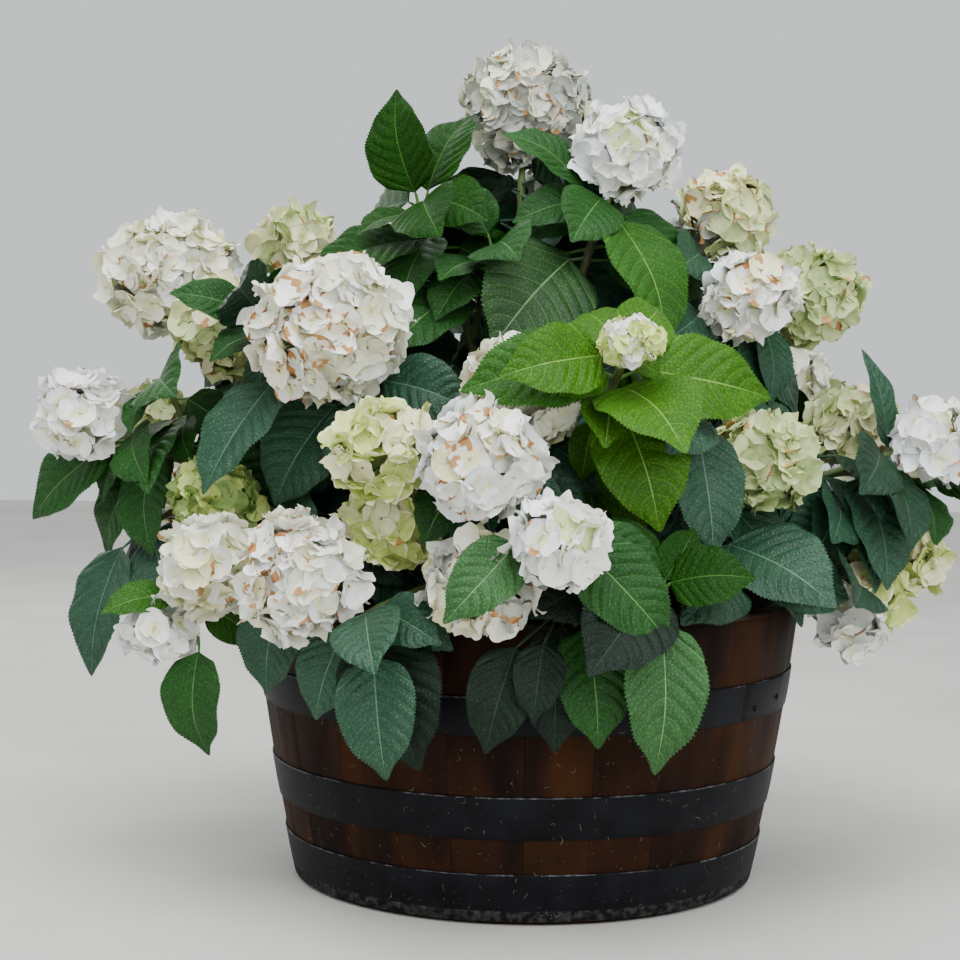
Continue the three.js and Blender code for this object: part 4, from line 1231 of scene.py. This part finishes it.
def sepal_points(centre, facing, first, second, scale, random):
    """Four cupped and ruffled sepals for each floret, as grids of points."""
    count = len(centre)
    s = np.array(SEPAL_ROWS)[:, None]
    x = np.array(SEPAL_COLUMNS)[None, :]
    each = (count, 4, 1, 1)
    size = scale * FLORET_RADIUS * random.uniform(0.84, 1.12, each)
    turn = (math.pi / 2 * np.arange(4) + random.normal(0, 0.1, (count, 4)))[..., None, None]
    outline = SEPAL_WIDTH * (0.3 + 0.95 * np.sin(math.pi * (0.1 + 0.64 * s)) ** 1.2)
    breadth = outline * random.uniform(0.9, 1.12, each)
    wave = np.cos(random.uniform(4, 6, each) * math.pi * x + random.uniform(0, 6, each))
    reach = s * (1 - 0.2 * x ** 2 * s + SEPAL_SCALLOP * wave * s ** 3)
    cup = SEPAL_CUP * random.uniform(0, 1.8, (count, 1, 1, 1))
    ruffle = random.normal(size=(count, 4, s.size, x.size))
    lift = cup * s ** 2 + 0.14 * x ** 2 * s + SEPAL_RUFFLE * ruffle * s ** 2
    lift = lift + SEPAL_TILT * random.normal(0.3, 0.8, each) * s
    lift = lift + SEPAL_TWIST * random.normal(size=each) * x * s
    lift = lift + np.array(SEPAL_LAYERS)[None, :, None, None]
    along = size * reach
    sideways = size * breadth * x
    forward = np.cos(turn) * along - np.sin(turn) * sideways
    left = np.sin(turn) * along + np.cos(turn) * sideways
    spots = centre[:, None, None, None] + forward[..., None] * first[:, None, None, None]
    spots = spots + left[..., None] * second[:, None, None, None]
    return (spots + (size * lift)[..., None] * facing[:, None, None, None]).reshape(-1, 3)


def sepal_marks(bloom, outward, lump, tints, random):
    """Tint of each face of each sepal, with green eyes, paler rims, and worn or pink edges."""
    count = len(outward)
    rows, columns = len(SEPAL_ROWS) - 1, len(SEPAL_COLUMNS) - 1
    names = [name for name, _ in bloom["tints"]]
    shares = [share for _, share in bloom["tints"]]
    tint = np.array([tints.index(name) for name in names])[random.choice(len(names), count, p=shares)]
    marks = np.repeat(tint[:, None], 4 * rows * columns, 1).reshape(count, 4, rows, columns)
    creamy = random.uniform(size=count) < CREAMY_SHARE
    if names[0] in ("white", "ivory"):
        marks[creamy, :, 0] = tints.index("cream")
    if "eye" in bloom:
        marks[outward @ FRONT_AXIS > EYE_EDGE, :, :2] = tints.index(bloom["eye"])
    if "rim" in bloom:
        marks[..., -1, :] = tints.index(bloom["rim"])
    patch = smooth_step(0.5, 0.95, outward @ unit(FRONT_AXIS + 0.6 * lump))[:, None]
    worn = random.uniform(size=(count, 4)) < bloom["brown"] * (0.3 + WORN_PATCH * patch)
    inward = random.uniform(size=(count, 4)) * (0.55 + 0.6 * patch)
    stain = np.where(random.uniform(size=(count, 4)) < 0.5, tints.index("browned"), tints.index("tanned"))
    start = random.integers(0, columns - 2, (count, 4))
    end = start + random.integers(1, 4, (count, 4))
    for column in range(columns):
        here = worn & (start <= column) & (column <= end)
        marks[..., -1, column][here] = stain[here]
        for row, needed in enumerate(STREAK_REACH, 2):
            streak = here & (inward > needed) & (column <= start + 3 - row)
            marks[..., -row, column][streak] = tints.index("tanned")
    rosy = random.uniform(size=(count, 4)) < bloom["pink"]
    for column in (1, 2):
        marks[..., -1, column][rosy] = tints.index("pink")
    return marks.ravel()


def add_head(batch, head, tints):
    """Florets over a lumpy ball, each of four sepals round a bead, on its own stalk, round a dark core:
    partly the green stalks inside, partly painted shade in the gaps between florets.
    """
    bloom = BLOOMS[head["bloom"]]
    random = np.random.default_rng(head["seed"])
    scale = bloom.get("floret", 1)
    squat = np.array([1, 1, bloom.get("flat", HEAD_SQUAT)])
    centre, outward, facing, first, second, lump = floret_places(head, bloom, squat, random)
    count = len(centre)
    points = sepal_points(centre, facing, first, second, scale, random)
    faces = grid_faces(len(SEPAL_ROWS), len(SEPAL_COLUMNS))
    apart = len(SEPAL_ROWS) * len(SEPAL_COLUMNS) * np.arange(4 * count)
    faces = (faces[None] + apart[:, None, None]).reshape(-1, 4)
    batch.add(points, faces, sepal_marks(bloom, outward, lump, tints, random))

    # The core ball is darkened as painted shade for the gaps between florets, and in part stands for the
    # green stalks inside
    ball, ball_faces = ball_shape(np.zeros(3), 1)
    shaded_heart = CORE_SHARE * head["radius"] * ball * squat * random.uniform(0.86, 1.06, (len(ball), 1))
    leafy = bloom["tints"][0][0] in ("lime", "green")
    batch.add(head["centre"] + shaded_heart, ball_faces, tints.index("green" if leafy else "shaded_heart"))

    beads = centre + (BEAD_LIFT * scale * FLORET_RADIUS) * facing
    beads = (beads[:, None] + BEAD_RADIUS * scale * BEAD[None]).reshape(-1, 3)
    bead_faces = (BALL_FACES[None] + len(BEAD) * np.arange(count)[:, None, None]).reshape(-1, 3)
    batch.add(beads, bead_faces, tints.index("green_cream"))

    for spot, ahead in zip(centre, facing):
        root = head["centre"] + FLORET_STALK_FROM * (spot - head["centre"])
        radii = [FLORET_STALK_RADIUS * 1.6, FLORET_STALK_RADIUS]
        points, faces, _ = tube_shape([root, spot - 0.5 * ahead], radii, 3)
        batch.add(points[:-2], faces, tints.index("green"))


def dress_heads(masses):
    """The flower heads of each mass as one piece, with a finish for each tint."""
    materials = [
        finish("sepal_" + name, light, dark, 0.6, 110, 0.12, low=0.3, high=0.6)
        for name, (light, dark) in SEPAL_TINTS.items()
    ]
    for mass in masses:
        if not mass["heads"]:
            continue
        batch = Batch()
        for head in mass["heads"]:
            add_head(batch, head, list(SEPAL_TINTS))
        batch.make("blooms_" + mass["name"], materials, ["foliage_" + mass["name"]])


# Staves: points across each face, heights of the rings and the waves of the grain
STAVE_POINTS = 9
STAVE_EDGE = 0.5
STAVE_CORNER = 0.008
STAVE_RIM_ROUNDING = 3.5
STAVE_GRAIN = 0.3
STAVE_GRAIN_SEED = 700
STAVE_HEIGHTS = [
    0, 1.2, 4, *np.linspace(14, TUB_HEIGHT - 10, 22), TUB_HEIGHT - 4, TUB_HEIGHT - 1.4, TUB_HEIGHT,
]

# Hoops: how far the section stands out from the staves, ring by ring, where the metal is dusty, where a
# pale line along the upper edge is painted highlight with dust, and the bearings and sizes of the riveted
# laps
HOOP_SEGMENTS = 180
HOOP_SEED = 760
HOOP_PROFILE = (0.35, 0.9, 1.6, 2.0, 2.1, 2.0, 1.7, 1.0, 0.35)
DUSTY_BAND = 12
PALE_EDGE = 1.3
PALE_RIM = 1.7
LAPS = {"hoop_top": 60, "hoop_middle": 158, "hoop_bottom": 164}
LAP_HALF_WIDTH = 10
LAP_STEPS = 16
LAP_THICKNESS = 1.6
LAP_SUNK = 0.4
LAP_INSET = (1.2, 0.6, 0, 0, 0, -0.6, -1.2)

# Rivets: their dome is given as shares of the radius and heights above the lap
RIVET_SPREAD = 5.2
RIVET_RADIUS = 3.6
RIVET_SIDES = 10
RIVET_PROUD = 1.1
RIVET_DOME = ((1, -1), (0.96, 0.6), (0.7, 1.5), (0.3, 2.0), (0, 2.1))

# Stool, compost and the crumbs on it
STOOL_ROWS = 14
STOOL_TURNS = 48
SOIL_RINGS = 22
SOIL_TURNS = 72
SOIL_SEED = 41
SOIL_ROUGHNESS = 1.3
SOIL_SUNK = 2
ROUGH_SEED = 5
CRUMBS = 320
CRUMB_SEED = 6
CRUMB_LEAST = 2.2
CRUMB_SPREAD = 4.5
CRUMB_CLEAR = 6

# Litter on the staves and hoops
LITTER = 1000
LITTER_SEED = 83
LITTER_TOP = 210
LITTER_LOW = 8
LITTER_PROUD = 2.5
LITTER_LONGEST = 9
LITTER_HALF_WIDTH = (0.14, 0.3)


def dress_staves(oaks):
    """Staves with wavy faces, worn rims and a narrow edge along each seam."""
    seams = stave_seams()
    heights = np.array(STAVE_HEIGHTS)[:, None]
    shares = np.linspace(0, 1, STAVE_POINTS)
    shares[1], shares[-2] = STAVE_CORNER, 1 - STAVE_CORNER
    edge = STAVE_EDGE * ((shares < 0.01) | (shares > 0.99))
    foot, rim = smooth_step(5, 0, heights), smooth_step(TUB_HEIGHT - 4.5, TUB_HEIGHT, heights)
    rounding = STAVE_RIM_ROUNDING * (foot + rim)
    outer = tub_radius(heights)
    slack = np.degrees(FIT / 2 / outer)
    walls, foot_faces, top_faces = box_faces(len(heights), STAVE_POINTS)
    marks = np.zeros((len(heights) - 1, 2 * STAVE_POINTS), int)
    marks[-2:] = 1
    for number, (left, right) in enumerate(zip(seams, seams[1:])):
        dice = Dice(STAVE_GRAIN_SEED + number)
        grain = np.array([STAVE_GRAIN * (2 * dice() - 1) for _ in range(STAVE_POINTS)])
        waves = np.array([6 * dice() for _ in range(STAVE_POINTS)])
        bearing = left + slack + (right - left - 2 * slack) * shares[None, :]
        outside = outer - edge - rounding + grain * np.sin(0.02 * heights + waves)
        inside = outer - STAVE_THICKNESS + 0.5 * rounding + 0 * shares
        ring = np.concatenate([
            round_the_tub(bearing, outside, heights), round_the_tub(bearing, inside, heights)[:, ::-1],
        ], 1)
        batch = Batch()
        batch.add(ring.reshape(-1, 3), walls, marks.ravel())
        batch.add_faces(foot_faces, 0)
        batch.add_faces(top_faces, 1)
        name = f"stave_{number + 1:02d}"
        batch.make(name + "_oak", [oaks[int(3 * dice())], oaks[3]], [name])


def add_lap(batch, bearing, heights, out):
    """The overlapping end of a hoop."""
    turns = np.linspace(bearing - LAP_HALF_WIDTH, bearing + LAP_HALF_WIDTH, LAP_STEPS)
    share = np.linspace(0, 1, LAP_STEPS)
    step = LAP_THICKNESS * smooth_step(0, 0.06, share) * smooth_step(1, 0.94, share)
    heights = heights + np.array(LAP_INSET)
    radii = (tub_radius(heights) + out)[None, :] + step[:, None] - LAP_SUNK
    lap = round_the_tub(turns[:, None], radii, heights[None, :])
    batch.add(lap.reshape(-1, 3), grid_faces(LAP_STEPS, len(heights))[:, ::-1])


def add_rivet(batch, bearing, height, radius):
    """A domed rivet head on a hoop's lap."""
    normal = direction(bearing, 0)
    across, up = direction(bearing + 90, 0), np.array([0, 0, 1.0])
    centre = place(bearing, radius, height)
    angle = 2 * math.pi * np.arange(RIVET_SIDES)[:, None] / RIVET_SIDES
    ring = np.cos(angle) * across + np.sin(angle) * up
    rows = [centre + lift * normal + RIVET_RADIUS * swell * ring for swell, lift in RIVET_DOME]
    batch.add(np.concatenate(rows), grid_faces(len(rows), RIVET_SIDES, closed=True))


def dress_hoops(iron, worn, dusty):
    """Flat hoops with a riveted lap and a thin pale line near the upper edge: painted highlight, with dust.
    The lowest is dusty.
    """
    turns = np.linspace(0, 360, HOOP_SEGMENTS, endpoint=False)
    out = np.array(HOOP_PROFILE)
    columns = len(out)
    faces = grid_faces(HOOP_SEGMENTS + 1, columns, closed=True) % (HOOP_SEGMENTS * columns)
    for number, (name, (low, high)) in enumerate(HOOPS.items()):
        dice = Dice(HOOP_SEED + number)
        middle = 0.5 * (low + high)
        lower = [low + 0.6, low, low + 0.5, low + DUSTY_BAND, middle]
        heights = np.array([*lower, high - 1.6, high - 0.5, high, high - 0.6])
        wave = 0.35 * np.sin(np.radians(3 * turns + 90 * dice()))
        wave = wave + 0.25 * np.sin(np.radians(7 * turns + 90 * dice()))
        radii = tub_radius(heights) + out
        ring = round_the_tub(turns[:, None], radii[None, :], heights[None, :] + wave[:, None])
        marks = np.zeros((HOOP_SEGMENTS, columns), int)
        pale_line = np.array([dice() for _ in range(HOOP_SEGMENTS)])
        pale_line = pale_line + np.roll(pale_line, 1) + np.roll(pale_line, 2)
        # A patchy pale line along the upper edge: painted highlight, with dust
        marks[pale_line > PALE_EDGE, 5] = 1
        marks[pale_line > PALE_RIM, 6] = 1
        if name == "hoop_bottom":
            marks[:, 0:3] = 2
        batch = Batch()
        batch.add(ring.reshape(-1, 3), faces[:, ::-1], marks.ravel())
        add_lap(batch, LAPS[name], heights[1:8], out[1:8])
        for spread, height in ((-RIVET_SPREAD, middle - 8), (RIVET_SPREAD, middle - 2)):
            add_rivet(batch, LAPS[name] + spread, height, tub_radius(height) + out.max() + RIVET_PROUD)
        batch.make(name + "_iron", [iron, worn, dusty], [name])


def dress_litter(straw):
    """Fine dry needles and specks that cling to the lower half of the tub."""
    dice = Dice(LITTER_SEED)
    batch = Batch()
    share = np.linspace(0, 1, 4)
    thin, thick = LITTER_HALF_WIDTH
    for _ in range(LITTER):
        bearing, height = 360 * dice(), LITTER_TOP * dice() ** 1.4 + LITTER_LOW
        length = 1 + (LITTER_LONGEST - 1) * dice() ** 4
        tilt, bow = 2 * math.pi * dice(), (dice() - 0.5) * length
        along = length * (share - 0.5)
        across = bow * 4 * share * (1 - share)
        half = thin + (thick - thin) * dice()
        lines = []
        for side in (-half, half):
            x = math.cos(tilt) * along - math.sin(tilt) * (across + side)
            z = height + math.sin(tilt) * along + math.cos(tilt) * (across + side)
            radius = tub_radius(z) + LITTER_PROUD
            lines.append(round_the_tub(bearing + np.degrees(x / radius), radius, z))
        batch.add(np.concatenate(lines), grid_faces(2, len(share)))
    batch.make("tub_litter", [straw])


def soil_top(share):
    """Height of the compost at a share of its radius."""
    return SOIL_LEVEL + SOIL_CROWN * smooth_step(1, SOIL_FLAT, share)


def dress_soil(earth, chips):
    """Compost with a rough crown, and crumbs and chips of bark on it."""
    dice = Dice(SOIL_SEED)
    outer = inside_radius(SOIL_LEVEL)
    waist, foot = TUB_HEIGHT / STAVE_LEVELS, BOTTOM_BOARD_HIGH + FIT
    shares = np.linspace(0, 1, SOIL_RINGS)[1:]
    turns = np.linspace(0, 360, SOIL_TURNS, endpoint=False)
    rough = np.random.default_rng(ROUGH_SEED).normal(size=(len(shares), SOIL_TURNS))
    rough = rough + np.roll(rough, 1, 0) + np.roll(rough, 1, 1)
    top = soil_top(shares)[:, None] + SOIL_ROUGHNESS * rough - SOIL_SUNK
    grid = round_the_tub(turns[None, :], outer * shares[:, None], top)
    wall = [(outer, SOIL_LEVEL - 4), (inside_radius(waist), waist), (inside_radius(foot - FIT), foot)]
    rings = np.concatenate([grid, [round_the_tub(turns, *ring) for ring in wall]])
    middle = np.array([[0, 0, SOIL_LEVEL + SOIL_CROWN], [0, 0, foot]])
    count = len(rings) * SOIL_TURNS
    batch = Batch()
    walls = grid_faces(len(rings), SOIL_TURNS, closed=True)[:, ::-1]
    batch.add(np.concatenate([rings.reshape(-1, 3), middle]), walls)
    batch.add_faces(fan_faces(0, SOIL_TURNS, count))
    batch.add_faces(fan_faces(count - SOIL_TURNS, SOIL_TURNS, count + 1, turned=True))
    random = np.random.default_rng(CRUMB_SEED)
    for _ in range(CRUMBS):
        spread, bearing = outer * math.sqrt(dice()) * 0.97, 360 * dice()
        if spread < STOOL_RADIUS + CRUMB_CLEAR:
            continue
        size = CRUMB_LEAST + CRUMB_SPREAD * dice() ** 2
        stretch = random.uniform(0.5, 1.4, 3)
        jag = random.uniform(0.75, 1.2, (len(BEAD), 1))
        height = float(soil_top(spread / outer)) + 0.3 * size
        crumb = place(bearing, spread, height) + size * stretch * jag * BEAD
        batch.add(crumb, BALL_FACES, int(dice() > 0.6))
    batch.make("soil_crumbs", [earth, chips], ["soil"])


def dress_stool(woody):
    """Knotty stool: a dome with lobes round its side."""
    foot = SOIL_LEVEL + SOIL_CROWN + FIT
    climb = np.linspace(0, 0.5 * math.pi, STOOL_ROWS)[:, None]
    turn = np.linspace(0, 2 * math.pi, STOOL_TURNS, endpoint=False)[None, :]
    lobes = 1 + 0.05 * np.sin(5 * turn + 1) + 0.035 * np.sin(11 * turn + 3 * climb)
    lobes = lobes + 0.02 * np.sin(23 * turn)
    radius = STOOL_RADIUS * np.cos(climb) ** STOOL_ROUNDING * lobes * 0.97
    height = foot + STOOL_HEIGHT * np.sin(climb) * (1 + 0.06 * np.sin(7 * turn + 2) * np.cos(climb))
    grid = round_the_tub(np.degrees(turn), radius, height).reshape(-1, 3)
    batch = Batch()
    batch.add(np.concatenate([grid, [[0, 0, foot]]]), grid_faces(STOOL_ROWS, STOOL_TURNS, closed=True))
    batch.add_faces(fan_faces(0, STOOL_TURNS, len(grid), turned=True))
    batch.make("root_stool_bark", [woody], ["root_stool"])


# Camera of the photograph, in metres and degrees, and its focal length in pixels of a 960-pixel frame
CAMERA_PLACE = (-0.010, -2.4305, 0.5826)
CAMERA_YAW = -1.019
CAMERA_PITCH = 3.261
CAMERA_ROLL = 0.671
CAMERA_FOCUS = 2137.6
FRAME_WIDTH = 960
SENSOR = 36

# The point that the lamps face, in metres
LAMP_AIM = (0, 0, 0.45)


def set_camera():
    yaw, pitch, roll = (math.radians(a) for a in (CAMERA_YAW, CAMERA_PITCH, CAMERA_ROLL))
    ahead = Vector((math.sin(yaw) * math.cos(pitch), math.cos(yaw) * math.cos(pitch), -math.sin(pitch)))
    level = ahead.cross(Vector((0, 0, 1))).normalized()
    upright = level.cross(ahead)
    right = level * math.cos(roll) + upright * math.sin(roll)
    up = upright * math.cos(roll) - level * math.sin(roll)
    data = bpy.data.cameras.new("photo_camera")
    data.sensor_width = SENSOR
    data.lens = CAMERA_FOCUS / FRAME_WIDTH * SENSOR
    camera = bpy.data.objects.new("photo_camera", data)
    turned = Matrix((right, up, -ahead)).transposed().to_4x4()
    camera.matrix_world = Matrix.Translation(Vector(CAMERA_PLACE)) @ turned
    bpy.context.scene.collection.objects.link(camera)
    bpy.context.scene.camera = camera


def set_lights():
    world = bpy.data.worlds.new("pale_room")
    world.use_nodes = True
    world.node_tree.nodes["Background"].inputs["Color"].default_value = linear("#e6ecee")
    world.node_tree.nodes["Background"].inputs["Strength"].default_value = 1.02
    bpy.context.scene.world = world
    # Name, place, size, power and colour
    lamps = (
        ("sky_lamp", (-0.2, -1.2, 3.2), 2.6, 134, "#f8faff"),
        ("front_lamp", (1.2, -2.8, 1.7), 2.0, 62, "#f8fbff"),
        ("back_lamp", (-1.6, 2.2, 2.2), 2.0, 36, "#ffffff"),
    )
    for name, spot, size, power, colour in lamps:
        data = bpy.data.lights.new(name, "AREA")
        data.size = size
        data.energy = power
        data.color = linear(colour)[:3]
        lamp = bpy.data.objects.new(name, data)
        lamp.location = spot
        lamp.rotation_euler = (Vector(LAMP_AIM) - Vector(spot)).to_track_quat("-Z", "Y").to_euler()
        bpy.context.scene.collection.objects.link(lamp)


def set_floor():
    half, low = 6.0, -0.001
    corners = [(-half, -half, low), (half, -half, low), (half, half, low), (-half, half, low)]
    mesh = bpy.data.meshes.new("floor")
    mesh.from_pydata(corners, [], [(0, 1, 2, 3)])
    floor = bpy.data.objects.new("floor", mesh)
    mesh.materials.append(finish("pale_floor", "#cfccc6", "#c4c1bb", 0.8, 3, 0.02))
    bpy.context.scene.collection.objects.link(floor)


masses, canes = grow_plant()
green = finish("green_stem", "#5f7a3c", "#4b4a2a", 0.5, 40, 0.3, stretch=(1, 1, 0.4))
woody = finish("cane_bark", "#7a674c", "#4b3b2a", 0.8, 60, 0.8, stretch=(1, 1, 0.2))
oaks = [
    finish("oak_dark", "#2f1a0e", "#160e0a", 0.6, 20, 0.7, stretch=(1, 1, 0.3), gloss=0.05),
    finish("oak_brown", "#341d0f", "#190f0b", 0.58, 18, 0.7, stretch=(1, 1, 0.32), gloss=0.05),
    finish("oak_red", "#38200f", "#1b110b", 0.6, 19, 0.7, stretch=(1, 1, 0.3), gloss=0.05),
    finish("oak_worn", "#4a3a2e", "#211914", 0.65, 80, 0.9, stretch=(1, 1, 0.3), gloss=0.1),
]
iron = finish("hoop_iron", "#131418", "#0b0b0e", 0.5, 30, 0.5, gloss=0.09)
# Paler iron for the line along the hoops' upper edges: painted highlight, with dust
dust_and_highlight_iron = finish("dust_and_highlight_iron", "#55565a", "#1d1e22", 0.5, 160, 0.5, low=0.42, high=0.66, gloss=0.25)
dusty_iron = finish("dusty_iron", "#45433f", "#131317", 0.8, 130, 0.8, low=0.42, high=0.74, gloss=0.1)
straw = finish("dry_needles", "#6e6758", "#423d34", 0.8, 200, 0.1)
earth = finish("earth", "#33241a", "#1a120d", 0.95, 120, 1.0)
chips = finish("bark_chips", "#5a4028", "#33241a", 0.9, 120, 0.8)

dress_leaves(masses, leaf_finishes())
dress_limbs(masses, canes, green, woody)
dress_heads(masses)
dress_staves(oaks)
dress_hoops(iron, dust_and_highlight_iron, dusty_iron)
dress_litter(straw)
dress_soil(earth, chips)
dress_stool(woody)
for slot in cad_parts["tub_bottom"].material_slots:
    slot.material = oaks[1]

set_floor()
set_lights()
set_camera()

bpy.context.view_layer.update()
